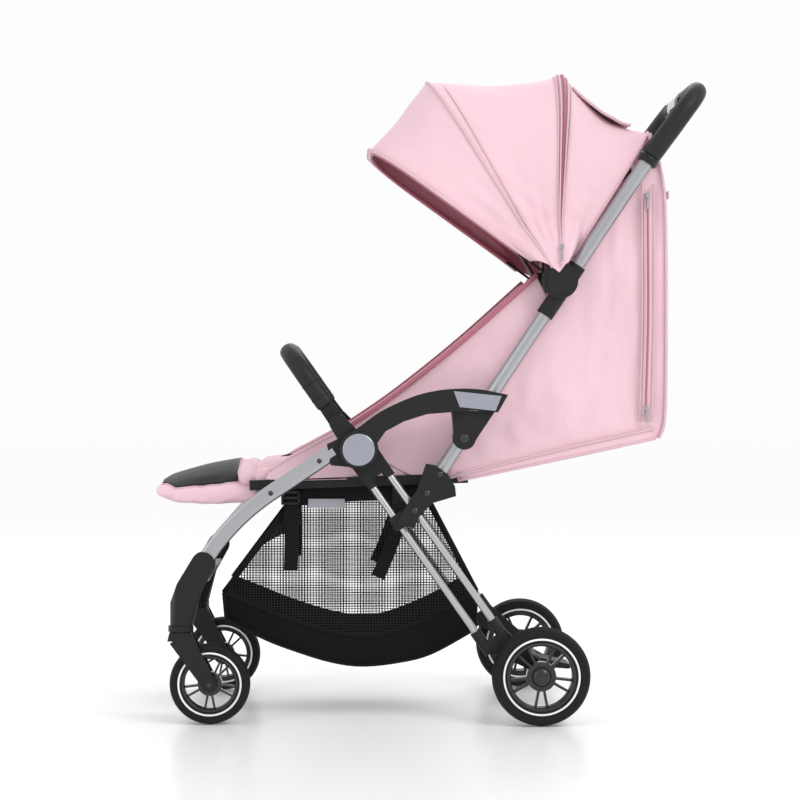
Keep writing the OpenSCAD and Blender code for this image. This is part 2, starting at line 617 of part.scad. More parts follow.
module harness_buckle() color(black) difference() {
    plate([buckle_p + [-22, 0], buckle_p + [22, 0], buckle_p + [17, 17], buckle_p + [-17, 17]], -26, 26);
    plate([buckle_p + [-10.2, 6], buckle_p + [10.2, 6], buckle_p + [10.2, 20], buckle_p + [-10.2, 20]], -12.2, 12.2);
}
module harness_button() color([0.7, 0.2, 0.2])
    plate([buckle_p + [-10, 10], buckle_p + [10, 10], buckle_p + [9, 19], buckle_p + [-9, 19]], -12, 12);

basket_half_w = 134;
basket_front = rail_front + [66, -28];
basket_nose = [front_axle_x + 13, front_wheel_r + 141];
basket_heel = [rear_axle_x - 96, rear_wheel_r + 130];
basket_sag_z = rear_wheel_r + 4;
// Lower edge of the basket, an arc that hangs between nose and heel
function basket_low(f, up) = [basket_nose[0] + 8 + (basket_heel[0] - basket_nose[0] - 8) * f,
    (basket_nose[1] - 50) * (1 - f) + (basket_heel[1] - 66) * f
    - (basket_nose[1] * (1 - f) + basket_heel[1] * f - 56 - basket_sag_z) * sin(180 * f) + up];
module basket_side(in) {
    polygon(concat([basket_front + [in, 2], basket_nose + [in, 0]],
        [for (i = [0:12]) basket_low(i / 12, in) + [in * (1 - i / 6), 0]],
        [basket_heel + [-in, 0], bight + [-30 - in, -40 + (in > 0 ? 2 : 0)]]));
}
module basket() color([0.2, 0.2, 0.2]) difference() {
    translate([0, basket_half_w, 0]) rotate([90, 0, 0]) linear_extrude(2 * basket_half_w) basket_side(0);
    translate([0, basket_half_w - cloth_t, 0]) rotate([90, 0, 0])
        linear_extrude(2 * (basket_half_w - cloth_t)) union() {
            basket_side(cloth_t);
            polygon([basket_front + [6, -8], bight + [-36, -52], bight + [-36, 0], basket_front + [6, 20]]);
        }
}

// ---- legrest and backrest ----
legrest_p = rail_front + [-4, -3];
legrest_slope = 184;
leg_tip = polar(legrest_p, legrest_len - 4, legrest_slope);
module legrest_board() color(black) difference() {
    union() {
        plate(bar_pts(legrest_p, leg_tip, 3, 3), -seat_half_w + 10, seat_half_w - 10);
        pin(legrest_p, 6, -seat_half_w - 1, seat_half_w + 1);
    }
    pin(legrest_p, 3, -seat_half_w - 2, seat_half_w + 2);
}
module legrest_pad() color(pink)
    plate([polar(legrest_p, 16, legrest_slope) + [0, 4], leg_tip + [-2, 4], leg_tip + [4, 16],
        polar(legrest_p, 20, legrest_slope) + [0, 24]], -seat_half_w + 2, seat_half_w - 2);

module backrest_board() color(pink) {
    a = polar(bight, 14, backrest_slope);
    plate(bar_pts(a, backrest_end, 9, 9), -seat_half_w + 2, seat_half_w - 2);
    pin(polar(bight, 12, backrest_slope), 5, -seat_half_w, seat_half_w);
}

rear_tubes();
hub_castings();
hub_pins();
hub_caps();
rear_housings();
rear_axle();
brake_pedal();
front_tubes();
front_sockets();
front_rivets();
castor_housings();
footrest();
front_cross_tube();
bumper_bar();
bumper_knuckles();
bumper_button_left();
bumper_button_right();
castor_fork_left();
castor_fork_right();
front_axle_left();
front_axle_right();
front_tyre_left();
front_tyre_right();
front_rim_left();
front_rim_right();
rear_tyre_left();
rear_tyre_right();
rear_rim_left();
rear_rim_right();
armrest_shells();
armrest_inlays();
armrest_rivets();
side_front_gussets();
handle_tubes();
handle_sleeves();
canopy_discs();
handle_grip();
fold_housing();
fold_trigger();
fold_lock();
side_rear_gussets();
rear_panel();
zip_hoop();
front_hoop();
visor_hoop();
canopy_rear_cover();
canopy_front_cover();
canopy_visor_cover();
fan_brackets();
slider_bushes();
fan_rivets();
seat_rails();
seat_pan();
seat_pad();
harness_buckle();
harness_button();
basket();
legrest_board();
legrest_pad();
backrest_board();
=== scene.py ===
"""Compact folding baby stroller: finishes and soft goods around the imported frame."""
import json
import math
import bpy
import bmesh
import numpy as np
from mathutils.bvhtree import BVHTree
from mathutils import Matrix, Vector, noise


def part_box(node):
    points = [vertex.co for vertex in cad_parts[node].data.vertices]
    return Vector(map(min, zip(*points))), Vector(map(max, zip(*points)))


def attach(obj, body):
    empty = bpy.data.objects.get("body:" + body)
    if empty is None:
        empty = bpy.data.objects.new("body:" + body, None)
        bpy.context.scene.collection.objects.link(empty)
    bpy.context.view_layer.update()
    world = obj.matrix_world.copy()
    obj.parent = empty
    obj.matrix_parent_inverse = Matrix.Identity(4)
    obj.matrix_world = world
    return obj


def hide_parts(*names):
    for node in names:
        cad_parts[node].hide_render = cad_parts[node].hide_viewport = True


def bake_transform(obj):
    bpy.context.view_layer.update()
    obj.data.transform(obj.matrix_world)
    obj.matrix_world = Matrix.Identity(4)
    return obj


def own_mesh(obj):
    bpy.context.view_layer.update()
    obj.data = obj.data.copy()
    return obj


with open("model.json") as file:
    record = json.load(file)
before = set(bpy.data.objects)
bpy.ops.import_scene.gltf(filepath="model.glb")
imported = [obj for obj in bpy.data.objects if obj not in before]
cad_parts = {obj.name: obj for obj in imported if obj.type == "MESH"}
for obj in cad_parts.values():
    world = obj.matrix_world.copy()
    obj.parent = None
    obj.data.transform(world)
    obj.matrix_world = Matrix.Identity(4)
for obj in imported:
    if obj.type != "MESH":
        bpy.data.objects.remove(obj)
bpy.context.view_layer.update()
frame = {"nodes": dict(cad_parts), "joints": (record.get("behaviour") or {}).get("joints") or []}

NODES = frame["nodes"]
JOINTS = {j["name"]: j for j in frame["joints"]}


# ---------------------------------------------------------------- frame places
def joint_place(name):
    """Where a joint stands in the frame."""
    return Vector(JOINTS[name]["pos_m"])


HUB = joint_place("frame_fold")
PIVOT_A = joint_place("handle_turn")
CANOPY_C = joint_place("canopy_fold")
BIGHT = joint_place("backrest_recline")
BUMPER_P = joint_place("bumper_tilt")
GUSSET_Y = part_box("side_rear_gussets")[1].y


def polar(p, r, degrees):
    """A point at distance r from p in side view; y is p's."""
    a = math.radians(degrees)
    return Vector((p.x + r * math.cos(a), p.y, p.z + r * math.sin(a)))


# ---------------------------------------------------------------- shader maths
class Sock:
    """A shader socket on which Python's operators add Math nodes."""

    def __init__(self, tree, out):
        self.tree = tree
        self.out = out

    def math(self, operation, *others):
        node = self.tree.nodes.new("ShaderNodeMath")
        node.operation = operation
        for k, value in enumerate((self, *others)):
            if isinstance(value, Sock):
                self.tree.links.new(value.out, node.inputs[k])
            else:
                node.inputs[k].default_value = value
        return Sock(self.tree, node.outputs[0])

    def __add__(self, o):
        return self.math("ADD", o)

    def __sub__(self, o):
        return self.math("SUBTRACT", o)

    def __mul__(self, o):
        return self.math("MULTIPLY", o)

    def __rsub__(self, o):
        return (self * -1.0) + o

    __radd__ = __add__
    __rmul__ = __mul__

    def sin(self):
        return self.math("SINE")

    def above(self, edge):
        return self.math("GREATER_THAN", edge)

    def fract(self):
        return self.math("FRACT")

    def abs(self):
        return self.math("ABSOLUTE")


class Finish:
    """One material: a Principled shader with its detail worked out from a few textures."""

    def __init__(self, name, colour, roughness, metallic=0.0, **constants):
        self.mat = bpy.data.materials.new(name)
        self.mat.use_nodes = True
        self.tree = self.mat.node_tree
        self.shader = self.tree.nodes["Principled BSDF"]
        self.mat.diffuse_color = (*colour, 1)
        self.put("Base Color", (*colour, 1))
        self.put("Roughness", roughness)
        self.put("Metallic", metallic)
        for key, value in constants.items():
            self.put(key.replace("_", " "), value)

    def put(self, socket, value):
        target = self.shader.inputs[socket]
        if isinstance(value, Sock):
            self.tree.links.new(value.out, target)
        else:
            target.default_value = value

    def node(self, kind, settings=None, **inputs):
        made = self.tree.nodes.new("ShaderNode" + kind)
        for key, value in (settings or {}).items():
            setattr(made, key, value)
        for key, value in inputs.items():
            target = made.inputs[key.replace("_", " ")]
            if isinstance(value, Sock):
                self.tree.links.new(value.out, target)
            else:
                target.default_value = value
        return made

    def out(self, made, name=0):
        return Sock(self.tree, made.outputs[name])

    def coords(self, kind="Object", scale=(1, 1, 1), turn=(0, 0, 0), place=(0, 0, 0)):
        source = self.out(self.node("TexCoord"), kind)
        made = self.node("Mapping", Vector=source, Scale=scale, Rotation=turn, Location=place)
        return self.out(made, "Vector")

    def noise(self, vector, scale, detail=3.0):
        return self.out(self.node("TexNoise", Vector=vector, Scale=scale, Detail=detail), "Fac")

    def cells(self, vector, scale, feature="F1"):
        made = self.node("TexVoronoi", {"feature": feature}, Vector=vector, Scale=scale)
        return self.out(made, "Distance")

    def split(self, vector):
        made = self.node("SeparateXYZ", Vector=vector)
        return [self.out(made, k) for k in range(3)]

    def mix(self, factor, a, b):
        made = self.node("Mix", {"data_type": "RGBA"})
        for k, value in ((0, factor), (6, a), (7, b)):
            if isinstance(value, Sock):
                self.tree.links.new(value.out, made.inputs[k])
            else:
                made.inputs[k].default_value = value
        return self.out(made, 2)

    def bump(self, height, strength, distance):
        made = self.node("Bump", Height=height, Strength=strength, Distance=distance)
        self.put("Normal", self.out(made, "Normal"))
        return self

    def see_through(self, mask):
        """Holes where mask is 0."""
        self.put("Alpha", mask)
        return self


def rgb(r, g, b):
    """Linear colour from display values between 0 and 255."""
    return tuple(((c / 255 + 0.055) / 1.055) ** 2.4 if c > 10 else c / 255 / 12.92 for c in (r, g, b))


def shade(colour, factor):
    """A colour made lighter or darker by a factor."""
    return (*(c * factor for c in colour), 1)


def woven(name, colour, depth=0.25, pitch=0.0009, sheen=0.25, gloss=0.4):
    """Fine plain-weave polyester: threads over and under, soft creases, slight fading."""
    f = Finish(name, colour, 0.82, Sheen_Weight=sheen, Sheen_Roughness=0.45, Specular_IOR_Level=gloss)
    f.put("Sheen Tint", (1, 0.93, 0.95, 1))
    where = f.coords()
    x, y, z = f.split(where)
    k = 2 * math.pi / pitch
    threads = (x * k).sin() * (z * k).sin() + (y * k).sin() * 0.5
    clouds = f.noise(where, 7.0, 4.0)
    crumple = f.noise(where, 34.0, 4.0)
    f.put("Base Color", f.mix(clouds * 0.7 + threads * 0.06, shade(colour, 1.07), shade(colour, 0.86)))
    f.put("Roughness", clouds * 0.1 + 0.76)
    return f.bump(threads * 0.0001 + crumple * 0.0016 + clouds * 0.003, depth, 1.0)


def moulded(name, colour, roughness, grain=0.35, scale=1400.0, coat=0.0):
    """Injection-moulded plastic with a fine spark grain and faint scuffs."""
    f = Finish(name, colour, roughness, Coat_Weight=coat, Coat_Roughness=0.1, Specular_IOR_Level=0.3)
    where = f.coords()
    spark = f.cells(where, scale)
    scuff = f.noise(where, 18.0, 5.0)
    f.put("Roughness", scuff * 0.22 + (roughness - 0.1))
    f.put("Base Color", f.mix(scuff, shade(colour, 0.8), shade(colour, 1.3)))
    return f.bump(spark * 0.0002, grain, 1.0)


def brushed(name, colour, roughness, along, coat=0.0):
    """Satin anodised tube: fine draw lines along its length."""
    f = Finish(name, colour, roughness, 1.0, Coat_Weight=coat)
    lines = f.noise(f.coords(scale=along), 1.0, 2.0)
    cloud = f.noise(f.coords(), 9.0, 3.0)
    f.put("Roughness", lines * 0.12 + cloud * 0.1 + (roughness - 0.1))
    f.put("Base Color", f.mix(cloud, shade(colour, 0.93), shade(colour, 1.05)))
    return f.bump(lines * 0.00006, 0.3, 1.0)


def leatherette(name, colour):
    """Soft grained leatherette."""
    f = Finish(name, colour, 0.5, Specular_IOR_Level=0.34)
    where = f.coords()
    grain = f.cells(where, 620.0, "DISTANCE_TO_EDGE")
    soft = f.noise(where, 30.0, 3.0)
    f.put("Roughness", soft * 0.16 + 0.42)
    f.put("Base Color", f.mix(soft, shade(colour, 0.8), shade(colour, 1.35)))
    return f.bump(grain * 0.0005 + soft * 0.0008, 0.4, 1.0)


def rubber(name, colour):
    f = Finish(name, colour, 0.72, Specular_IOR_Level=0.22)
    where = f.coords()
    dust = f.noise(where, 26.0, 5.0)
    pores = f.cells(where, 900.0)
    f.put("Base Color", f.mix(dust, shade(colour, 0.8), shade(colour, 1.6)))
    f.put("Roughness", dust * 0.2 + 0.58)
    return f.bump(pores * 0.0002 + dust * 0.0003, 0.4, 1.0)


def netting(name, colour, wide=0.0048, tall=0.0042, open_part=0.74):
    """Open knitted mesh on the piece's own UV map, which is in metres."""
    f = Finish(name, colour, 0.7, Specular_IOR_Level=0.2)
    u, v, _ = f.split(f.coords("UV"))
    across = ((u * (1 / wide)).fract() - 0.5).abs() * 2
    down = ((v * (1 / tall)).fract() - 0.5).abs() * 2
    thread = across.math("MAXIMUM", down).above(open_part)
    return f.see_through(thread).bump(across * down * 0.0004, 0.5, 1.0)


PINK = rgb(229, 193, 203)
# the pink made a little darker for the back panel and its strap: painted shade
SHADED_PINK_BACK = rgb(222, 188, 198)
BINDING = rgb(176, 104, 120)
# the canopy's pink made darker for its inner face: painted shade inside the hood
SHADED_PINK_INSIDE = rgb(176, 112, 124)
BLACK = (0.0075, 0.0075, 0.008)

FABRIC = woven("pink polyester", PINK)
FABRIC_BACK_SHADE = woven("pink polyester, back, painted shade", SHADED_PINK_BACK)
FABRIC_INSIDE_SHADE = woven("pink, painted shade inside the canopy", SHADED_PINK_INSIDE)
TAPE = woven("rose binding tape", BINDING, 0.35, 0.0012)
PIPING = woven("pink piping", shade(PINK, 0.86)[:3], 0.35, 0.0008)
ZIP_TAPE = woven("pink zip tape", shade(PINK, 0.84)[:3], 0.4, 0.0007)
WEBBING = woven("black webbing", (0.0075, 0.0075, 0.008), 0.8, 0.0016, 0.02, 0.15)
BLACK_CLOTH = woven("black basket cloth", (0.0065, 0.0065, 0.007), 0.4, 0.0012, 0.02, 0.12)
MESH = netting("black netting", (0.016, 0.016, 0.017))
TUBE = brushed("satin aluminium", (0.40, 0.41, 0.43), 0.3, (120, 900, 120), 0.0)
STEEL = brushed("bright steel", (0.42, 0.42, 0.43), 0.24, (500, 60, 500))
CHROME = brushed("bright rear tube", (0.46, 0.47, 0.485), 0.22, (120, 700, 120))
PLASTIC = moulded("black moulding", BLACK, 0.46)
PLASTIC_FINE = moulded("black satin moulding", (0.009, 0.009, 0.0095), 0.34, 0.2)
BUTTON = moulded("dark grey button", (0.02, 0.02, 0.021), 0.36, 0.2)
DARK_STEEL = moulded("blackened rivet", (0.02, 0.02, 0.021), 0.25, 0.1, coat=0.4)
RED = moulded("red button", (0.5, 0.02, 0.02), 0.3, 0.1)
GREY = moulded("grey footplate", (0.36, 0.36, 0.38), 0.5)
LAVENDER = brushed("lavender metallic", (0.36, 0.365, 0.43), 0.36, (40, 40, 700), 0.3)
SILVER = moulded("silver moulding", (0.5, 0.5, 0.52), 0.3, 0.15, coat=0.3)
SILVER.put("Metallic", 0.8)
RIM = moulded("glossy black rim", (0.008, 0.008, 0.0085), 0.22, 0.12, coat=0.5)
TYRE = rubber("foam tyre", (0.0075, 0.0075, 0.008))
RING = moulded("white reflective ring", (0.85, 0.86, 0.87), 0.3, 0.1)
LEATHER = leatherette("black leatherette", (0.0085, 0.0085, 0.009))
TAG = woven("grey tag", (0.35, 0.36, 0.4), 0.3, 0.001)


# ---------------------------------------------------------------- mesh helpers
def piece(name, bm, material, body, replaces=(), smooth=True):
    """A finished mesh as its own object, riding on a body."""
    mesh = bpy.data.meshes.new(name)
    bm.to_mesh(mesh)
    bm.free()
    ob = bpy.data.objects.new(name, mesh)
    bpy.context.scene.collection.objects.link(ob)
    for m in material if isinstance(material, (list, tuple)) else [material]:
        mesh.materials.append(m.mat)
    if smooth:
        mesh.polygons.foreach_set("use_smooth", [True] * len(mesh.polygons))
        mesh.update()
    if body:
        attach(ob, body)
    if replaces:
        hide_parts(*replaces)
    return ob


def solidify(ob, thickness, offset=0.0, inner=0):
    """Gives a sheet its thickness."""
    m = ob.modifiers.new("thickness", "SOLIDIFY")
    m.thickness = thickness
    m.offset = offset
    m.material_offset = inner
    m.use_even_offset = False


def subdivide(ob, levels=1):
    """Rounds a piece with subdivision."""
    m = ob.modifiers.new("smooth", "SUBSURF")
    m.levels = levels
    m.render_levels = levels


def bevel(ob, width, segments=2, angle=35):
    """Softens the hard edges of a piece."""
    m = ob.modifiers.new("edges", "BEVEL")
    m.width = width
    m.segments = segments
    m.limit_method = "ANGLE"
    m.angle_limit = math.radians(angle)


def apply_modifiers(ob):
    """Fixes a piece's modifiers in its mesh."""
    graph = bpy.context.evaluated_depsgraph_get()
    mesh = bpy.data.meshes.new_from_object(ob.evaluated_get(graph))
    ob.modifiers.clear()
    ob.data = mesh
    return ob


def sheet_of(place, nu, nv, axes=None, wrap=False):
    """A grid of cloth whose points are placed by place(u, v), each 0 to 1.

    axes are the two world axes its UV map lies on."""
    bm = bmesh.new()
    bmesh.ops.create_grid(bm, x_segments=nu, y_segments=nv, size=0.5)
    uv = bm.loops.layers.uv.new("UVMap")
    spot = {v: (v.co.x + 0.5, v.co.y + 0.5) for v in bm.verts}
    for v, (a, b) in spot.items():
        v.co = place(a, b)
    for face in bm.faces:
        for loop in face.loops:
            loop[uv].uv = [loop.vert.co[k] for k in axes] if axes else spot[loop.vert]
    if wrap:
        bmesh.ops.remove_doubles(bm, verts=bm.verts, dist=1e-6)
    return bm


def cut_from(place, n=24):
    """Works out the size of the flat cloth a sheet is cut from, measured along its own rows, and keeps
    nothing of it.
    """
    grid = [[place(i / n, k / n) for k in range(n + 1)] for i in range(n + 1)]
    wide = max(sum((grid[i + 1][k] - grid[i][k]).length for i in range(n)) for k in range(n + 1))
    tall = max(sum((grid[i][k + 1] - grid[i][k]).length for k in range(n)) for i in range(n + 1))
    area = sum((grid[i + 1][k] - grid[i][k]).cross(grid[i][k + 1] - grid[i][k]).length / 2
               + (grid[i + 1][k + 1] - grid[i + 1][k]).cross(grid[i + 1][k + 1] - grid[i][k + 1]).length / 2
               for i in range(n) for k in range(n))
    flat = [round(max(0.02, wide), 3), round(max(0.02, tall), 3)]
    if area < 0.31 * flat[0] * flat[1]:
        flat[flat.index(max(flat))] = round(area / 0.32 / min(flat), 3)


def smooth_path(points, per=6):
    """A Catmull-Rom curve through given points."""
    pts = [Vector(p) for p in points]
    ends = [2 * pts[0] - pts[1]] + pts + [2 * pts[-1] - pts[-2]]
    out = []
    for i in range(1, len(ends) - 2):
        a, b, c, d = ends[i - 1:i + 3]
        for k in range(per):
            t = k / per
            out.append(0.5 * (2 * b + (c - a) * t + (2 * a - 5 * b + 4 * c - d) * t * t
                              + (3 * b - a - 3 * c + d) * t ** 3))
    return out + [pts[-1]]


def tube_along(path, section, up=None, close_ends=True):
    """A section, as (across, out) pairs, swept along a path."""
    n = len(path)
    m = len(section)
    frames = []
    side = None
    for i, p in enumerate(path):
        t = (path[min(i + 1, n - 1)] - path[max(i - 1, 0)]).normalized()
        if up is not None:
            side = Vector(up).cross(t).normalized()
        elif side is None:
            side = t.orthogonal().normalized()
        else:
            side = (side - t * side.dot(t)).normalized()
        frames.append((p, side, t.cross(side).normalized()))

    def place(u, v):
        p, s, o = frames[round(u * (n - 1))]
        across, out = section[round(v * m) % m]
        return p + s * across + o * out

    bm = sheet_of(place, n - 1, m, wrap=True)
    if close_ends:
        bmesh.ops.holes_fill(bm, edges=[e for e in bm.edges if e.is_boundary], sides=0)
    bmesh.ops.recalc_face_normals(bm, faces=bm.faces)
    return bm


def round_section(r, sides=12, squash=1.0):
    """A round or flattened cross-section for a tube."""
    return [(r * math.cos(2 * math.pi * k / sides), r * squash * math.sin(2 * math.pi * k / sides))
            for k in range(sides)]


def flat_section(width, thick):
    """A flat strap's cross-section."""
    w, t = width / 2, thick / 2
    return [(w, -t * 0.4), (w, t * 0.4), (w * 0.92, t), (0, t), (-w * 0.92, t), (-w, t * 0.4),
            (-w, -t * 0.4), (-w * 0.92, -t), (0, -t), (w * 0.92, -t)]


def spun(profile, centre, steps=72, axis=(0, 1, 0)):
    """A profile of (radius, along) pairs turned about a line across the stroller."""
    bm = bmesh.new()
    y = Vector(axis)
    out = Vector((0, 0, 1)) if abs(y.z) < 0.9 else Vector((1, 0, 0))
    verts = [bm.verts.new(Vector(centre) + out * r + y * a) for r, a in profile]
    edges = [bm.edges.new(pair) for pair in zip(verts, verts[1:])]
    bmesh.ops.spin(bm, geom=verts + edges, cent=centre, axis=y, angle=2 * math.pi, steps=steps,
                   use_merge=True)
    bmesh.ops.remove_doubles(bm, verts=bm.verts, dist=1e-6)
    bmesh.ops.recalc_face_normals(bm, faces=bm.faces)
    return bm


def slab(outline, y0, y1, round_by=0.0, segments=3):
    """A plate from a side-view outline, with rounded edges."""
    bm = bmesh.new()
    face = bm.faces.new([bm.verts.new((p[0], y0, p[-1])) for p in outline])
    grown = bmesh.ops.extrude_face_region(bm, geom=[face])
    bmesh.ops.translate(bm, verts=[g for g in grown["geom"] if isinstance(g, bmesh.types.BMVert)],
                        vec=(0, y1 - y0, 0))
    bmesh.ops.recalc_face_normals(bm, faces=bm.faces)
    if round_by:
        rim = [e for e in bm.edges
               if e.calc_face_angle(0) > 1.0 and abs(e.verts[0].co.y - e.verts[1].co.y) < 1e-6]
        bmesh.ops.bevel(bm, geom=rim, offset=round_by, segments=segments, profile=0.5, affect="EDGES",
                        material=-1, clamp_overlap=True)
    return bm


def mirrored(bm):
    """The same shape on the other side, with its faces still outwards."""
    other = bm.copy()
    bmesh.ops.scale(other, vec=(1, -1, 1), verts=other.verts)
    bmesh.ops.reverse_faces(other, faces=other.faces)
    return other


def both(name, bm, material, body, replaces=(), after=None):
    """A piece on the left and its mirror image on the right."""
    other = mirrored(bm)
    made = [piece(name + "_left", bm, material, body),
            piece(name + "_right", other, material, body)]
    if replaces:
        for ob in made:
            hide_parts(*replaces)
    for ob in made:
        if after:
            after(ob)
    return made


def recolour(material, *names):
    """Gives frame pieces that keep their own shape a finish."""
    for n in names:
        ob = NODES[n]
        ob.data.materials.clear()
        ob.data.materials.append(material.mat)


def ripple(p, scale, amount, seed=0.0):
    """Gentle noise that makes creases."""
    return noise.noise(Vector(p) * scale + Vector((seed, seed * 0.7, -seed))) * amount


# ---------------------------------------------------------------- camera, light and floor
def make_stage():
    """The floor, the lights and the camera."""
    scene = bpy.context.scene
    cam = bpy.data.cameras.new("camera")
    cam.sensor_width = 36
    cam.lens = 99.4
    eye = bpy.data.objects.new("camera", cam)
    scene.collection.objects.link(eye)
    eye.location = (-0.1295, -3.7, 0.5536)
    eye.rotation_euler = (math.radians(90 - 0.648), 0, math.radians(-1.245))
    scene.camera = eye
    bm = bmesh.new()
    bmesh.ops.create_grid(bm, x_segments=1, y_segments=1, size=14)
    floor_mat = Finish("pale studio floor", (0.985, 0.985, 0.985), 0.3)
    mesh = bpy.data.meshes.new("floor")
    bm.to_mesh(mesh)
    bm.free()
    mesh.materials.append(floor_mat.mat)
    floor = bpy.data.objects.new("floor", mesh)
    floor.location.z = -0.0005
    scene.collection.objects.link(floor)
    world = bpy.data.worlds.new("studio")
    world.use_nodes = True
    world.node_tree.nodes["Background"].inputs[0].default_value = (1, 1, 1, 1)
    world.node_tree.nodes["Background"].inputs[1].default_value = 0.98
    scene.world = world
    for name, place, size, power in (("key", (1.9, -2.2, 2.5), 1.4, 34), ("fill", (-2.4, -1.8, 1.4), 2.0, 8),
                                     ("rim", (0.4, 2.2, 2.6), 1.8, 22)):
        lamp = bpy.data.lights.new(name, "AREA")
        lamp.size = size
        lamp.energy = power
        ob = bpy.data.objects.new(name, lamp)
        ob.location = place
        ob.rotation_euler = (Vector((0, 0, 0.5)) - Vector(place)).to_track_quat("-Z", "Y").to_euler()
        scene.collection.objects.link(ob)
    scene.view_settings.view_transform = "Standard"


# ---------------------------------------------------------------- canopy
CANOPY_HALF_W = 0.1525
CANOPY_CORNER = 0.093
ZIP_ANGLE, ZIP_R = 87.8, 0.3405
HOOP_ANGLE, HOOP_R = 122.4, 0.3895
VISOR_ANGLE, VISOR_R = 144.2, 0.371
REAR_ANGLE, REAR_R = 57.5, 0.291
DISC_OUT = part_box("canopy_discs")[1].y + 0.0015
BAYS = [(REAR_ANGLE, REAR_R, ZIP_ANGLE, ZIP_R, 0.021), (ZIP_ANGLE, ZIP_R, HOOP_ANGLE, HOOP_R, 0.011),
        (HOOP_ANGLE, HOOP_R, VISOR_ANGLE, VISOR_R, 0.003)]


def chord(a0, r0, a1, r1, a):
    """The reach of a straight line between two reaches, at an angle between them."""
    s = lambda d: math.sin(math.radians(d))
    return r0 * r1 * s(a1 - a0) / (r0 * s(a - a0) + r1 * s(a1 - a))


def hem(angle):
    """How far above the pivot the cloth's rounded lower edge runs."""
    return 0.012 + 0.043 * ((angle - 98) / 46) ** 2


def arch_point(angle, reach, t, half_w=CANOPY_HALF_W, base=None):
    """A point on a canopy arch: t runs from the near foot over the top to the far foot."""
    base = hem(angle) if base is None else base
    rise = reach - CANOPY_CORNER - base
    bend = math.pi / 2 * CANOPY_CORNER
    half = rise + bend + half_w - CANOPY_CORNER
    s = (1 - abs(2 * t - 1)) * half
    if s < rise:
        y, h = half_w, base + s
    elif s < rise + bend:
        a = (s - rise) / CANOPY_CORNER
        y = half_w - CANOPY_CORNER * (1 - math.cos(a))
        h = reach - CANOPY_CORNER * (1 - math.sin(a))
    else:
        y, h = half - s, reach
    p = polar(CANOPY_C, h, angle)
    return Vector((p.x, -y if t < 0.5 else y, p.z))


def canopy_reach(angle):
    """The cloth's height over the pivot along the middle, between and on the hoops."""
    for a0, r0, a1, r1, sag in BAYS:
        if a0 <= angle <= a1:
            return chord(a0, r0, a1, r1, angle) - sag * math.sin(math.pi * (angle - a0) / (a1 - a0))
    return VISOR_R


def smooth_step(x):
    x = min(1.0, max(0.0, x))
    return x * x * (3 - 2 * x)


def skirt(p, angle):
    """The canopy's foot spreads outwards and hangs over the top of the pivot disc."""
    h = math.hypot(p.x - CANOPY_C.x, p.z - CANOPY_C.z)
    spread = (smooth_step((0.105 - h) / 0.062) * smooth_step((angle - 60) / 9)
              * smooth_step((150 - angle) / 12))
    p.y += math.copysign((DISC_OUT - abs(p.y)) * spread, p.y)
    return p


def bay(a0, r0, a1, r1, sag, pleats, seed):
    def place(u, v):
        a = a0 + (a1 - a0) * u
        mid = math.sin(math.pi * u)
        top = math.sin(math.pi * v)
        reach = chord(a0, r0, a1, r1, a) - sag * mid * (0.35 + 0.65 * top)
        p = arch_point(a, reach, v, CANOPY_HALF_W - 0.004 * mid * (0.3 + 0.7 * top))
        foot = max(0.0, 1 - top * 1.25)
        fold = math.sin(u * math.pi * pleats + seed + 3.0 * v) * foot * mid * 0.0035
        slant = (math.sin((p.x * 0.8 + p.z) * 190 + 2 * p.y) * 0.002
                 * smooth_step((0.75 - top) / 0.4) * mid * smooth_step(u * 3))
        crease = ripple(p, 11, 0.006, seed) * mid + ripple((p.x, p.y, p.z * 0.5), 34, 0.0028, seed + 5) * mid
        out = Vector((0, -1 if v < 0.5 else 1, 0)) * (1 - top) + Vector((0, 0, 1)) * top
        return skirt(p + out.normalized() * (fold + crease + slant), a)
    return place


def canopy_bay(name, spec, bodies, node, steps):
    """One bay of the canopy."""
    place = bay(*spec)
    # the bay's inner face takes the darker pink, painted shade inside the hood
    ob = piece(name, sheet_of(place, steps, 80), [FABRIC_INSIDE_SHADE, FABRIC], None)
    solidify(ob, 0.0016, -1.0, 1)
    apply_modifiers(ob)
    subdivide(ob)
    apply_modifiers(ob)
    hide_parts(node)
    turn_with_canopy(ob, *bodies, spec[0], spec[2])
    cut_from(place)
    return ob


def turn_with_canopy(ob, first, second, a0, a1):
    """Fixes a bay's placement in its mesh."""
    across = math.radians((a0 + a1) / 2 + (90 if a1 > a0 else -90))
    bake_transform(ob)


def arch_strip(name, angle, lift, section, material, body, t0=0.0, t1=1.0, half_w=None):
    """A strip that follows one arch of the canopy, lifted off the cloth."""
    reach = canopy_reach(angle) + lift
    w = half_w or CANOPY_HALF_W + 0.0015
    path = [skirt(arch_point(angle, reach, t0 + (t1 - t0) * k / 90, w), angle) for k in range(91)]
    for p in path:
        p.y += math.copysign(0.0008, p.y)
    up = Vector((-math.sin(math.radians(angle)), 0, math.cos(math.radians(angle))))
    return piece(name, tube_along(path, section, up), material, body)


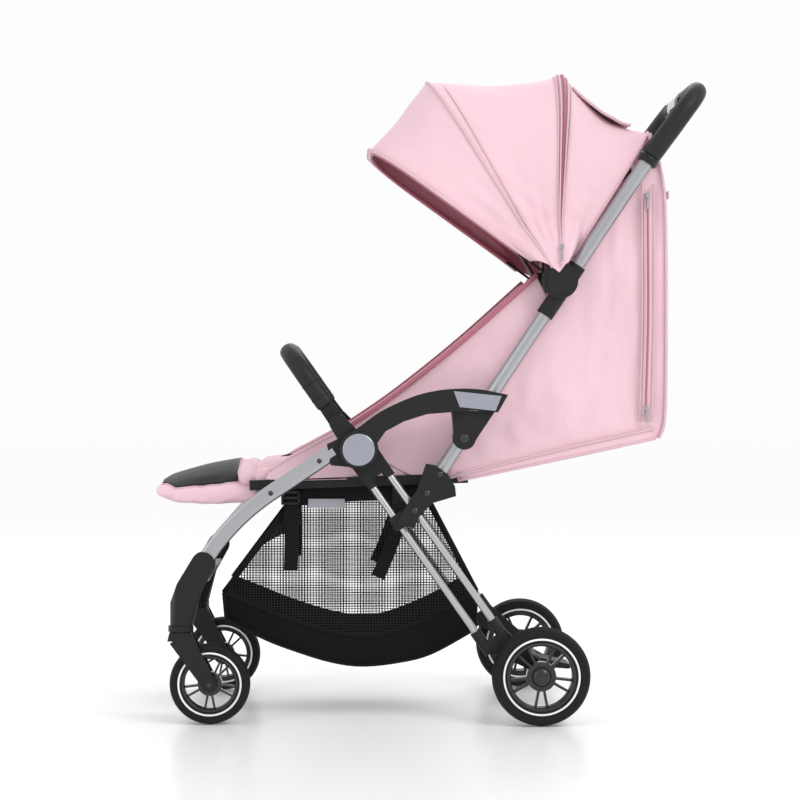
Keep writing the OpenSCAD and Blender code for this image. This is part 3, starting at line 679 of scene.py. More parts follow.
def make_canopy():
    """The canopy's bays, piping, zip and bindings."""
    canopy_bay("canopy_fabric_rear", (*BAYS[0], 5, 0.4),
               ("handle_frame", "canopy_zip"), "canopy_rear_cover", 22)
    canopy_bay("canopy_fabric_front", (*BAYS[1], 7, 1.7),
               ("canopy_zip", "canopy_front"), "canopy_front_cover", 28)
    canopy_bay("canopy_fabric_visor", (*BAYS[2], 3, 2.6),
               ("canopy_front", "canopy_visor"), "canopy_visor_cover", 18)
    arch_strip("front_hoop_piping", HOOP_ANGLE, 0.0008, round_section(0.0022, 8), PIPING, "canopy_front")
    arch_strip("front_hoop_stitching", HOOP_ANGLE - 2.6, 0.0006, round_section(0.0009, 6), PIPING,
               "canopy_front")
    arch_strip("visor_binding", VISOR_ANGLE, 0.0008, flat_section(0.011, 0.004), PIPING, "canopy_visor")
    for name, angle, reach, half_w, body in (("visor_hoop_sleeve", VISOR_ANGLE, VISOR_R - 0.004, 0.1376,
                                              "canopy_visor"),
                                             ("zip_hoop_sleeve", ZIP_ANGLE, ZIP_R - 0.0035, 0.148,
                                              "canopy_zip")):
        path = [arch_point(angle, reach, 0.06 + 0.88 * k / 80, half_w, 0.024) for k in range(81)]
        piece(name, tube_along(path, round_section(0.0033, 10), (0, 1, 0)), TAPE, body)
    arch_strip("rear_edge_binding", REAR_ANGLE + 0.6, 0.001, flat_section(0.008, 0.0035), PIPING,
               "handle_frame")
    # the zip: two tapes with piping and a row of teeth between them
    for k, offset in enumerate((-1.15, 1.15)):
        arch_strip(f"zip_tape_{k}", ZIP_ANGLE + offset, 0.001, flat_section(0.0085, 0.0024), ZIP_TAPE,
                   "canopy_zip", t0=0.01, t1=0.99)
        arch_strip(f"zip_piping_{k}", ZIP_ANGLE + offset * 1.9, 0.0012, round_section(0.0016, 8), PIPING,
                   "canopy_zip", t0=0.01, t1=0.99)
    arch_strip("zip_teeth", ZIP_ANGLE, 0.002, round_section(0.0022, 8), TAPE, "canopy_zip", t0=0.012,
               t1=0.988)


def zip_pull(name, at, body, out=-1):
    """A slider with a hanging tab."""
    bm = bmesh.new()
    for size, place in (((0.007, 0.004, 0.009), (0, 0, 0)), ((0.004, 0.002, 0.014), (0, out * 0.003, -0.012)),
                        ((0.006, 0.002, 0.004), (0, out * 0.003, -0.02))):
        made = bmesh.ops.create_cube(bm, size=1)
        bmesh.ops.scale(bm, vec=size, verts=made["verts"])
        bmesh.ops.translate(bm, vec=Vector(at) + Vector(place), verts=made["verts"])
    ob = piece(name, bm, STEEL, body, smooth=False)
    bevel(ob, 0.0008, 2)
    return ob


def make_vent_flap():
    """The raised flap over the rear window, piped along its edge."""
    def place(u, v):
        a = 85 - 20.5 * v
        low = 0.0165 * math.sin(math.pi * (ZIP_ANGLE - a) / (ZIP_ANGLE - REAR_ANGLE))
        reach = chord(REAR_ANGLE, REAR_R, ZIP_ANGLE, ZIP_R, a) - low + 0.008 * v
        y = (u - 0.5) * 0.21 * (1 - 0.16 * smooth_step((v - 0.6) / 0.4))
        p = polar(CANOPY_C, reach - 0.008 * (2 * u - 1) ** 4 * (1 - 0.4 * v), a)
        return Vector((p.x, y, p.z)) + Vector((0, 0, 1)) * ripple((u * 0.2, v * 0.2, 3), 20, 0.002)
    ob = piece("vent_flap", sheet_of(place, 30, 20), FABRIC, None)
    solidify(ob, 0.002, 1.0)
    apply_modifiers(ob)
    turn_with_canopy(ob, "handle_frame", "canopy_zip", REAR_ANGLE, ZIP_ANGLE)
    cut_from(place)
    edge = [place(0, k / 16) for k in range(17)] + [place(k / 20, 1) for k in range(1, 21)] \
        + [place(1, 1 - k / 16) for k in range(1, 17)]
    trim = piece("vent_flap_piping", tube_along(edge, round_section(0.0024, 8)), PIPING, None)
    turn_with_canopy(trim, "handle_frame", "canopy_zip", REAR_ANGLE, ZIP_ANGLE)


# ---------------------------------------------------------------- soft sides and back
GUSSET_OUT = GUSSET_Y - 0.0005
PANEL_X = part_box("rear_panel")[1].x
BACK_END = polar(BIGHT, 0.340, 12)
SIDE_TOP = Vector((0.168, 0, 0.715))
SIDE_FOOT = Vector((-0.142, 0, 0.466))
TUBE_SLOPE = 56.3


def on_handle(along, off=0.0):
    """A point on the handle tube's line, along it from the armrest pivot."""
    return polar(polar(PIVOT_A, along, TUBE_SLOPE), off, TUBE_SLOPE + 90)


def lerp(a, b, t):
    """The point t of the way from a to b."""
    return a + (b - a) * t


def make_front_gussets():
    """Between the front edge, the handle tube and the seat rail."""
    edge = smooth_path([SIDE_FOOT, (-0.055, 0, 0.526), (0.055, 0, 0.614), SIDE_TOP], 8)
    tube_low, tube_high = on_handle(-0.079), on_handle(0.258)

    last = len(edge) - 1

    def place(u, v):
        k = min(int(u * last), last - 1)
        front = edge[0] if u <= 0 else lerp(edge[k], edge[k + 1], u * last - k)
        p = lerp(front, lerp(tube_low, tube_high, u), v)
        if u < 0.18:
            p.z -= (0.18 - u) / 0.18 * 0.06 * v * (1 - v) ** 0.7
        inner = math.sin(math.pi * min(max(u, 0), 1)) * math.sin(math.pi * v)
        fan = (math.sin(math.atan2(p.z - HUB.z, p.x - HUB.x + 0.12) * 34) * 0.0022
               * math.exp(-((p.z - 0.47) / 0.07) ** 2))
        crease = ripple((p.x, 0, p.z), 12, 0.009) + ripple((p.x * 1.5, 1, p.z * 0.7), 36, 0.0035) + fan
        return Vector((p.x, -(GUSSET_OUT - 0.004) + (0.006 + crease) * inner, p.z))

    def after(ob):
        solidify(ob, 0.0018, 1.0)
        apply_modifiers(ob)
        subdivide(ob)
        apply_modifiers(ob)
        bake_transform(ob)

    bm = sheet_of(place, len(edge) - 1, 30)
    pair = [piece("front_gusset_left", bm.copy(), FABRIC, None),
            piece("front_gusset_right", mirrored(bm), FABRIC, None)]
    bm.free()
    for ob in pair:
        after(ob)
        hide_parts("side_front_gussets")
        cut_from(place)
    path = [Vector((p.x, -GUSSET_OUT - 0.0005, p.z)) for p in [place(k / 24, 0) for k in range(25)]]
    strip = tube_along(path, flat_section(0.0075, 0.0045), (0, 1, 0))
    for name, m in (("left", strip.copy()), ("right", mirrored(strip))):
        ob = piece("front_edge_binding_" + name, m, TAPE, None)
        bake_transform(ob)
    strip.free()


def back_profile(v):
    """The back panel's line in side view, from the board up to the canopy."""
    pts = smooth_path([(BACK_END.x + 0.012, 0, BACK_END.z - 0.006), (PANEL_X - 0.001, 0, BACK_END.z + 0.03),
                       (PANEL_X + 0.001, 0, 0.62), (PANEL_X, 0, 0.79), (PANEL_X - 0.004, 0, 0.862),
                       (0.360, 0, 0.915), (0.352, 0, 0.944)], 10)
    return pts[min(round(v * (len(pts) - 1)), len(pts) - 1)]


def blend_back(ob):
    """Fixes a rear cloth piece's placement in its mesh."""
    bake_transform(ob)


def make_rear_gussets():
    """Between the handle tube, the back panel and the reclined board."""
    low0, low1 = polar(BIGHT, 0.004, 12), polar(BIGHT, 0.352, 12)
    top0, top1 = on_handle(-0.045, 0.0), on_handle(0.50, 0.0)

    def place(u, v):
        upper = lerp(top0, top1, u)
        if u > 0.0:
            lower = lerp(low0, low1, min(1.0, u * 1.9))
            if u > 0.526:
                w = (u - 0.526) / 0.474
                lower = Vector((back_profile(0.82 * w).x - 0.001, 0, back_profile(0.82 * w).z))
        else:
            lower = low0
        p = lerp(upper, Vector((lower.x, 0, lower.z)), v)
        inner = math.sin(math.pi * v) ** 0.8 * min(1.0, 5 * u) * min(1.0, 6 * (1 - u) + 0.2)
        crease = ripple((p.x, 2, p.z), 9, 0.010) + ripple((p.x * 1.6, 4, p.z * 0.5), 30, 0.004)
        sag = math.exp(-((p.z - 0.44) / 0.05) ** 2) * math.sin((p.x * 0.7 + p.z) * 110) * 0.0016
        return Vector((p.x, -(GUSSET_OUT - 0.003) + 0.005 * inner + (crease + sag) * inner, p.z))

    bm = sheet_of(place, 70, 44)
    for name, m in (("left", bm.copy()), ("right", mirrored(bm))):
        ob = piece("rear_gusset_" + name, m, FABRIC, None)
        solidify(ob, 0.0018, 1.0)
        apply_modifiers(ob)
        blend_back(ob)
        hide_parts("side_rear_gussets")
        cut_from(place)
    bm.free()


def side_line(name, points, section, material, out=0.001):
    """A seam, zip or piping on both rear gussets."""
    path = [Vector((p.x, -(GUSSET_OUT + out), p.z)) for p in smooth_path(points, 8)]
    bm = tube_along(path, section, (0, 1, 0))
    for side, m in (("left", bm.copy()), ("right", mirrored(bm))):
        ob = piece(f"{name}_{side}", m, material, None)
        blend_back(ob)
    bm.free()


def make_back():
    """The rear panel and its pocket."""
    def place(u, v):
        p = back_profile(v)
        y = (2 * u - 1) * (GUSSET_OUT - 0.001)
        crown = (1 - (2 * u - 1) ** 4)
        crease = ripple((3, y, p.z), 10, 0.008) + ripple((5, y, p.z * 0.6), 30, 0.003)
        return Vector((p.x + (0.006 * crown + crease * crown) * math.sin(math.pi * min(1, v + 0.08)), y, p.z))
    # the back panel takes the darker pink, painted shade
    ob = piece("back_panel", sheet_of(place, 44, 60), FABRIC_BACK_SHADE, None)
    solidify(ob, 0.0018, -1.0)
    apply_modifiers(ob)
    blend_back(ob)
    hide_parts("rear_panel")
    cut_from(place)
    back = [back_profile(k / 24) for k in range(22)]
    side_line("back_corner_piping", back, round_section(0.0026, 8), PIPING, 0.0)
    zx = 0.346
    side_line("side_zip_tape", [(zx, 0, 0.845), (zx + 0.001, 0, 0.65), (zx - 0.003, 0, 0.488)],
              flat_section(0.013, 0.0022), ZIP_TAPE)
    side_line("side_zip_teeth", [(zx, 0, 0.84), (zx + 0.001, 0, 0.65), (zx - 0.003, 0, 0.492)],
              round_section(0.0018, 8), TAPE, 0.002)
    for dx in (-0.0095, 0.0095):
        side_line(f"side_zip_seam_{'a' if dx < 0 else 'b'}",
                  [(zx + dx, 0, 0.86), (zx + dx + 0.001, 0, 0.65), (zx + dx - 0.003, 0, 0.478)],
                  round_section(0.0014, 6), PIPING)
    side_line("board_piping_upper", [polar(BIGHT, 0.006, 15), polar(BIGHT, 0.18, 14.2),
                                     polar(BIGHT, 0.345, 13.4)],
              round_section(0.0026, 8), PIPING)
    side_line("board_piping_lower", [polar(BIGHT, 0.02, -9), polar(BIGHT, 0.18, 9.5),
                                     polar(BIGHT, 0.345, 10.75)],
              round_section(0.0024, 8), PIPING)
    for side, s in (("left", -1), ("right", 1)):
        for k, z in (("top", 0.842), ("low", 0.500)):
            pull = zip_pull(f"side_zip_pull_{k}_{side}",
                            (zx - (0.002 if k == "low" else 0), s * (GUSSET_OUT + 0.004), z),
                            None, s)
            apply_modifiers(pull)
            blend_back(pull)

    def pocket(u, v):
        p = back_profile(0.60 + 0.032 * v)
        y = (2 * u - 1) * (GUSSET_OUT - 0.002)
        return Vector((p.x + 0.007 + 0.003 * math.sin(math.pi * u), y, p.z))
    # the strap takes the darker pink too, painted shade
    flap = piece("back_strap", sheet_of(pocket, 20, 4), FABRIC_BACK_SHADE, None)
    solidify(flap, 0.0025, 0)
    bevel(flap, 0.0008)
    apply_modifiers(flap)
    blend_back(flap)


def make_board():
    """The padded, fabric-covered backrest board."""
    half = GUSSET_OUT + 0.0008
    bm = bmesh.new()
    bmesh.ops.create_cube(bm, size=1)
    bmesh.ops.subdivide_edges(bm, edges=bm.edges, cuts=9, use_grid_fill=True)
    length, thick = 0.345, 0.019
    slope = math.radians(12)
    for v in bm.verts:
        x, y, z = v.co
        crown = (1 - (2 * x) ** 6) * (1 - (2 * y) ** 6)
        along = 0.010 + (x + 0.5) * length
        high = z * thick * (0.86 + 0.14 * crown) + (0.004 * crown if z > 0 else -0.002 * crown)
        wide = y * 2 * half * (1 - 0.008 * (1 - (2 * x) ** 2))
        v.co = (BIGHT.x + along * math.cos(slope) - high * math.sin(slope), wide,
                BIGHT.z + along * math.sin(slope) + high * math.cos(slope))
    ob = piece("backrest_cover", bm, FABRIC, "backrest", ("backrest_board",))
    subdivide(ob)


# ---------------------------------------------------------------- seat, legrest and harness
SEAT_LO, SEAT_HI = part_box("seat_pad")


def puffed(ob, voxel, pressure, cap):
    """Blows a closed pad up a little, as its filling does, then smooths it."""
    remesh = ob.modifiers.new("voxels", "REMESH")
    remesh.mode = "VOXEL"
    remesh.voxel_size = voxel
    apply_modifiers(ob)
    rest = np.empty(len(ob.data.vertices) * 3)
    ob.data.vertices.foreach_get("co", rest)
    rest = rest.reshape(-1, 3)
    cloth = ob.modifiers.new("filling", "CLOTH")
    cloth.settings.use_pressure = True
    cloth.settings.uniform_pressure_force = pressure
    cloth.settings.effector_weights.gravity = 0
    cloth.settings.quality = 4
    cloth.point_cache.frame_start = 1
    cloth.point_cache.frame_end = 20
    scene = bpy.context.scene
    for k in range(1, 21):
        scene.frame_set(k)
    apply_modifiers(ob)
    scene.frame_set(1)
    co = np.empty(len(ob.data.vertices) * 3)
    ob.data.vertices.foreach_get("co", co)
    move = co.reshape(-1, 3) - rest
    far = np.linalg.norm(move, axis=1)[:, None]
    move *= np.minimum(1, cap / np.maximum(far, 1e-9))
    ob.data.vertices.foreach_set("co", (rest + move).ravel())
    ob.data.polygons.foreach_set("use_smooth", [True] * len(ob.data.polygons))
    ob.data.update()
    return ob


def pad_block(corners, half_w, cuts=(14, 12, 3), crown=0.0, waist=0.0):
    """A crowned pad between four side-view corners: front low, rear low, rear high, front high."""
    bm = bmesh.new()
    bmesh.ops.create_cube(bm, size=1)
    bmesh.ops.subdivide_edges(bm, edges=bm.edges, cuts=max(cuts), use_grid_fill=True)
    fl, rl, rh, fh = (Vector(c) for c in corners)
    for v in bm.verts:
        u, w, h = v.co.x + 0.5, v.co.y * 2, v.co.z + 0.5
        p = lerp(lerp(fl, rl, u), lerp(fh, rh, u), h)
        dome = (1 - (2 * u - 1) ** 4) * (1 - w ** 4)
        y = w * half_w * (1 - waist * (1 - (2 * u - 1) ** 2))
        v.co = (p.x, y, p.z + crown * dome * h)
    return bm


def make_seat():
    """The seat's cushion, side bolsters and front roll."""
    z0, z1 = SEAT_LO.z + 0.002, SEAT_HI.z - 0.003
    front, rear = SEAT_LO.x + 0.004, SEAT_HI.x - 0.01
    bm = pad_block([(front, 0, z0), (rear, 0, z0 + 0.009), (rear - 0.004, 0, z1 + 0.002),
                    (front + 0.012, 0, z1 - 0.006)],
                   0.136, crown=0.004)
    pad = puffed(piece("seat_cushion", bm, FABRIC, "carriage", ("seat_pad",)), 0.006, 4, 0.007)
    subdivide(pad)
    for s in (-1, 1):
        # side bolsters that fill the space between the cushion and the rails
        path = smooth_path([(front + 0.012, s * 0.134, z0 + 0.004), (front + 0.10, s * 0.138, z0 + 0.010),
                            (front + 0.18, s * 0.138, z0 + 0.014), (HUB.x + 0.05, s * 0.139, z0 + 0.016),
                            (rear - 0.02, s * 0.138, z0 + 0.016)], 8)
        bm = tube_along(path, [(0.017 * a / 0.01, b) for a, b in round_section(0.01, 14, 0.7)], (0, 1, 0))
        bolster = piece("seat_bolster_" + ("left" if s < 0 else "right"), bm, FABRIC, "carriage")
        for v in bolster.data.vertices:
            v.co += Vector((0, s, 0.4)) * (ripple(v.co, 26, 0.004, 2.0) + ripple(v.co, 60, 0.0012, 7.0))
        subdivide(bolster)
    # the front roll over the seat's edge
    roll = [(front + 0.004, y, z0 + 0.012 - 0.003 * (y / 0.14) ** 2) for y in np.linspace(-0.143, 0.143, 25)]
    bm = tube_along([Vector(p) for p in roll], round_section(0.0185, 16, 0.92), (0, 0, 1))
    ob = piece("seat_front_roll", bm, FABRIC, "carriage")
    for v in ob.data.vertices:
        v.co += Vector((-1, 0, 1)) * ripple(v.co, 30, 0.004, 3.0)
    subdivide(ob)


def make_legrest():
    """A plump wrinkled cover round the board, with a black wipe-clean inset let into its top."""
    tip, heel = -0.4535, -0.283
    top = smooth_path([(tip, 0, 0.367), (-0.437, 0, 0.379), (-0.400, 0, 0.391), (-0.3656, 0, 0.4005),
                       (-0.315, 0, 0.409),
                       (heel, 0, 0.409)], 8)
    low = smooth_path([(tip, 0, 0.3645), (-0.4298, 0, 0.353), (-0.3816, 0, 0.3455), (-0.3094, 0, 0.3475),
                       (heel, 0, 0.352)], 8)
    half = 0.138
    bm = bmesh.new()
    bmesh.ops.create_cube(bm, size=1)
    bmesh.ops.subdivide_edges(bm, edges=bm.edges, cuts=15, use_grid_fill=True)
    for v in bm.verts:
        u, w, h = v.co.x + 0.5, v.co.y * 2, v.co.z + 0.5
        a, b = along(low, u), along(top, u)
        thick = (b.z - a.z) * (0.44 + 0.56 * (1 - abs(w) ** 2.6))
        narrow = 1 - 0.10 * smooth_step((0.16 - u) / 0.16) - 0.03 * (1 - math.sin(math.pi * h))
        v.co = (lerp(a.x, b.x, h), w * half * narrow, a.z + 0.004 * abs(w) ** 3 + thick * h)
    pad = puffed(piece("legrest_cushion", bm, FABRIC, "legrest",
                       ("legrest_pad", "legrest_board")),
                 0.005, 3, 0.003)
    for v in pad.data.vertices:
        side = min(1.0, abs(v.co.y) / half) ** 3
        pull = math.sin((v.co.x * 0.55 - v.co.z) * 210 + 4 * v.co.y) * 0.0011 * side
        v.co.z += ripple((v.co.x, v.co.y * 0.6, 0), 30, 0.004, 1.0) * (0.3 + side) * 0.7 + pull
        v.co.y += ripple((v.co.x * 1.4, 0, v.co.z), 40, 0.003, 4.0) * side - math.copysign(pull, v.co.y)
    pad.data.update()
    skin = BVHTree.FromPolygons([v.co for v in pad.data.vertices], [p.vertices for p in pad.data.polygons])

    def on_top(x, y):
        hit = skin.ray_cast(Vector((x, y, 0.6)), Vector((0, 0, -1)))[0]
        return hit.z if hit else 0.37

    def place(u, v):
        x = -0.4365 + 0.1225 * u
        y = (2 * v - 1) * (0.127 - 0.020 * smooth_step((0.22 - u) / 0.22))
        return Vector((x, y, on_top(x, y) + 0.0006))
    subdivide(pad)
    inset = piece("legrest_inset", sheet_of(place, 30, 40), LEATHER, "legrest")
    solidify(inset, 0.0022, 1.0)
    edge = [place(0, k / 20) for k in range(21)] + [place(k / 14, 1) for k in range(1, 15)] \
        + [place(1, 1 - k / 20) for k in range(1, 21)] + [place(1 - k / 14, 0) for k in range(1, 15)]
    piece("legrest_inset_piping", tube_along(edge, round_section(0.0017, 8)), PIPING, "legrest")


def make_seat_wings():
    """The seat's side walls, from the legrest hinge up to the hub, inside the front tubes."""
    top = smooth_path([(-0.262, 0, 0.400), (-0.229, 0, 0.4215), (-0.205, 0, 0.434), (-0.1584, 0, 0.459),
                       (-0.128, 0, 0.474),
                       (-0.08, 0, 0.478), (0.0, 0, 0.452), (0.03, 0, 0.44)], 8)
    low = smooth_path([(-0.268, 0, 0.386), (-0.229, 0, 0.384), (-0.20, 0, 0.384), (-0.158, 0, 0.385),
                       (-0.128, 0, 0.386),
                       (-0.06, 0, 0.388), (0.0, 0, 0.392), (0.04, 0, 0.398)], 8)

    def place(u, v):
        a, b = along(low, u), along(top, u)
        p = lerp(a, b, v)
        inner = math.sin(math.pi * u) * math.sin(math.pi * v)
        reach = -0.1475 + 0.006 * smooth_step((p.x + 0.14) / 0.03)
        return Vector((p.x, reach + 0.006 * inner + ripple((p.x, 3, p.z), 24, 0.005) * inner, p.z))
    bm = sheet_of(place, 40, 14)
    hem = tube_along([Vector((p.x, -0.148, p.z)) for p in top if p.x < -0.135], round_section(0.0028, 8),
                     (0, 1, 0))
    for side, m, h in (("left", bm.copy(), hem.copy()), ("right", mirrored(bm), mirrored(hem))):
        ob = piece("seat_wing_" + side, m, FABRIC, "carriage")
        solidify(ob, 0.0018, 1.0)
        apply_modifiers(ob)
        cut_from(place)
        piece("seat_wing_hem_" + side, h, PIPING, "carriage")
    bm.free()
    hem.free()


def strap(name, points, width, thick, material, body, up, per=6):
    """A flat strap through a few points."""
    ob = piece(name, tube_along(smooth_path(points, per), flat_section(width, thick), up), material, body)
    return ob


def make_harness():
    """Five-point harness: shoulder straps, waist straps and a crotch strap at the buckle."""
    lo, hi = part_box("harness_buckle")
    mid = (lo + hi) / 2
    top = SEAT_HI.z + 0.004
    for s in (-1, 1):
        side = "left" if s < 0 else "right"
        strap("waist_strap_" + side, [(mid.x + 0.004, s * 0.024, mid.z),
                                      (mid.x + 0.05, s * 0.07, top + 0.002),
                                      (mid.x + 0.11, s * 0.115, top), (mid.x + 0.15, s * 0.130, top - 0.004)],
              0.025, 0.0022, WEBBING, "carriage", (0, 0, 1))
        a = polar(BIGHT, 0.05, 12)
        b = polar(BIGHT, 0.30, 12)
        lift = Vector((-math.sin(math.radians(12)), 0, math.cos(math.radians(12)))) * 0.016
        strap("shoulder_strap_" + side, [Vector((a.x, s * 0.05, a.z)) + lift,
                                         Vector(((a.x + b.x) / 2, s * 0.055,
              (a.z + b.z) / 2)) + lift * 1.15, Vector((b.x, s * 0.06, b.z)) + lift], 0.03, 0.005, WEBBING,
              "backrest", (-0.2, 0, 1))
    strap("crotch_strap", [(mid.x - 0.008, 0, mid.z - 0.004), (mid.x - 0.045, 0, top + 0.001),
                           (mid.x - 0.07, 0, top - 0.005)],
          0.03, 0.0022, WEBBING, "carriage", (0, 0, 1))


# ---------------------------------------------------------------- basket


def basket_lines():
    """Side-view lines of the basket: top edge, seam of the solid band, and lower edge."""
    top = smooth_path([(-0.226, 0, 0.350), (-0.150, 0, 0.356), (-0.070, 0, 0.358), (-0.006, 0, 0.352)], 12)
    seam = smooth_path([(-0.336, 0, 0.203), (-0.288, 0, 0.184), (-0.228, 0, 0.160), (-0.165, 0, 0.141),
                        (-0.118, 0, 0.134), (-0.070, 0, 0.139), (0.000, 0, 0.166), (0.071, 0, 0.205)], 12)
    low = smooth_path([(-0.333, 0, 0.160), (-0.274, 0, 0.129), (-0.226, 0, 0.110), (-0.165, 0, 0.091),
                       (-0.113, 0, 0.084), (-0.052, 0, 0.090), (0.000, 0, 0.104), (0.070, 0, 0.142)], 12)
    return top, seam, low


def along(line, t):
    """The point at share t of a line."""
    k = t * (len(line) - 1)
    i = min(int(k), len(line) - 2)
    return lerp(line[i], line[i + 1], k - i)


def ease(p):
    """Gives a basket piece its own copy of its mesh."""
    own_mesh(p)
    return p


def make_basket():
    """Netting, lower bands, floor, ends, trims and straps."""
    top, seam, low = basket_lines()
    half = 0.140

    def side_place(u, v):
        a, b = along(seam, u), along(top, u)
        p = lerp(a, b, v)
        slack = math.sin(math.pi * u) * math.sin(math.pi * v)
        wave = math.sin(p.x * 44 + p.z * 60) * 0.0035 + ripple((p.x, 0, p.z), 13, 0.012)
        return Vector((p.x, -half + (0.004 + wave) * slack, p.z))

    def band_place(u, v):
        a, b = along(low, u), along(seam, u)
        p = lerp(a, b, v)
        y = -half + 0.012 * (1 - v) ** 2 + ripple((p.x, 0, p.z), 16, 0.004) * math.sin(math.pi * v)
        return Vector((p.x, y, p.z))

    for name, place, nu, nv, mat in (("basket_mesh", side_place, 44, 24, MESH),
                                     ("basket_band", band_place, 48, 8, BLACK_CLOTH)):
        bm = sheet_of(place, nu, nv, (0, 2))
        for side, m in (("left", bm.copy()), ("right", mirrored(bm))):
            ob = piece(f"{name}_{side}", m, mat, "carriage")
            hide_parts("basket")
            ease(ob)
            cut_from(place)
        bm.free()

    def floor_place(u, v):
        p = along(low, u)
        y = (2 * v - 1) * (half - 0.0115)
        drop = 0.004 * (1 - (2 * v - 1) ** 2)
        return Vector((p.x, y, p.z - drop + ripple((p.x, y, 0), 9, 0.005)))
    base = piece("basket_floor", sheet_of(floor_place, 48, 26), BLACK_CLOTH, "carriage")
    ease(base)
    cut_from(floor_place)

    def end_place(t):
        a, b, c = along(low, t), along(seam, t), along(top, t)

        def place(u, v):
            p = lerp(a, b, v / 0.3) if v < 0.3 else lerp(b, c, (v - 0.3) / 0.7)
            dip = 0.045 * max(0, v - 0.6) / 0.4 * (1 - (2 * u - 1) ** 2) if t < 0.5 else 0
            return Vector((p.x + dip * 0.3, (2 * u - 1) * (half - 0.002), p.z - dip))
        return place
    for name, t, mat in (("basket_front", 0.0, BLACK_CLOTH), ("basket_back", 1.0, MESH)):
        ob = piece(name, sheet_of(end_place(t), 30, 22, (1, 2)), mat, "carriage")
        ease(ob)
        cut_from(end_place(t))

    def trim(name, line, r=0.0028, flat=None, inset=(0.0, 0.0)):
        path = [Vector((p.x, -half - 0.0005 + lerp(*inset, k / (len(line) - 1)), p.z)) for k,
                p in enumerate(line)]
        bm = tube_along(path, flat or round_section(r, 8), (0, 1, 0))
        for side, m in (("left", bm.copy()), ("right", mirrored(bm))):
            ease(piece(f"{name}_{side}", m, WEBBING, "carriage"))
        bm.free()
    trim("basket_seam_tape", seam, flat=flat_section(0.007, 0.0025))
    trim("basket_top_hem", [p + Vector((0, 0, 0.006)) for p in top], flat=flat_section(0.026, 0.003))
    trim("basket_low_hem", low, 0.0026, inset=(0.012, 0.012))
    trim("basket_front_binding", [along(seam, 0), along(top, 0)], flat=flat_section(0.009, 0.003))
    trim("basket_front_band_edge", [along(low, 0), along(seam, 0)], 0.003, inset=(0.012, 0.0))
    trim("basket_back_binding", [along(seam, 1), along(top, 1)], flat=flat_section(0.009, 0.003))
    trim("basket_back_band_edge", [along(low, 1), along(seam, 1)], 0.003, inset=(0.012, 0.0))
    # webbing straps with ladder buckles
    for k, pts, width in ((1, [(-0.228, 0, 0.372), (-0.2285, 0, 0.33), (-0.227, 0, 0.29),
                               (-0.228, 0, 0.240)], 0.022),
                          (2, [(-0.044, 0, 0.345), (-0.056, 0, 0.31), (-0.070, 0, 0.27),
                               (-0.088, 0, 0.228)], 0.022)):
        path = [Vector((p[0], -half - 0.006 - 0.002 * math.sin(i * 2.1), p[2])) for i, p in enumerate(pts)]
        bm = tube_along(smooth_path(path, 8), flat_section(width, 0.0022), (0, 1, 0))
        ladder = bmesh.new()
        at = smooth_path(path, 8)[3]
        for dz in (-0.009, 0.0, 0.009):
            bar = bmesh.ops.create_cube(ladder, size=1)
            bmesh.ops.scale(ladder, vec=(width + 0.007, 0.006, 0.0042), verts=bar["verts"])
            bmesh.ops.translate(ladder, vec=at + Vector((0, -0.002, dz)), verts=bar["verts"])
        for side_x in (-1, 1):
            bar = bmesh.ops.create_cube(ladder, size=1)
            bmesh.ops.scale(ladder, vec=(0.004, 0.006, 0.022), verts=bar["verts"])
            bmesh.ops.translate(ladder, vec=at + Vector((side_x * (width / 2 + 0.002), -0.002, 0)),
                                verts=bar["verts"])
        for side, m, l in (("left", bm.copy(), ladder.copy()), ("right", mirrored(bm), mirrored(ladder))):
            ease(piece(f"basket_strap_{k}_{side}", m, WEBBING, "carriage"))
            buckle = piece(f"basket_buckle_{k}_{side}", l, PLASTIC_FINE, "carriage",
                           smooth=False)
            bevel(buckle, 0.0008, 1)
        bm.free()
        ladder.free()
    tag = slab([(-0.200, 0, 0.340), (-0.141, 0, 0.340), (-0.141, 0, 0.3545), (-0.200, 0, 0.3545)],
               -half - 0.0075, -half - 0.0055,
               0.0006, 1)
    piece("blank_tag", tag, TAG, "carriage")


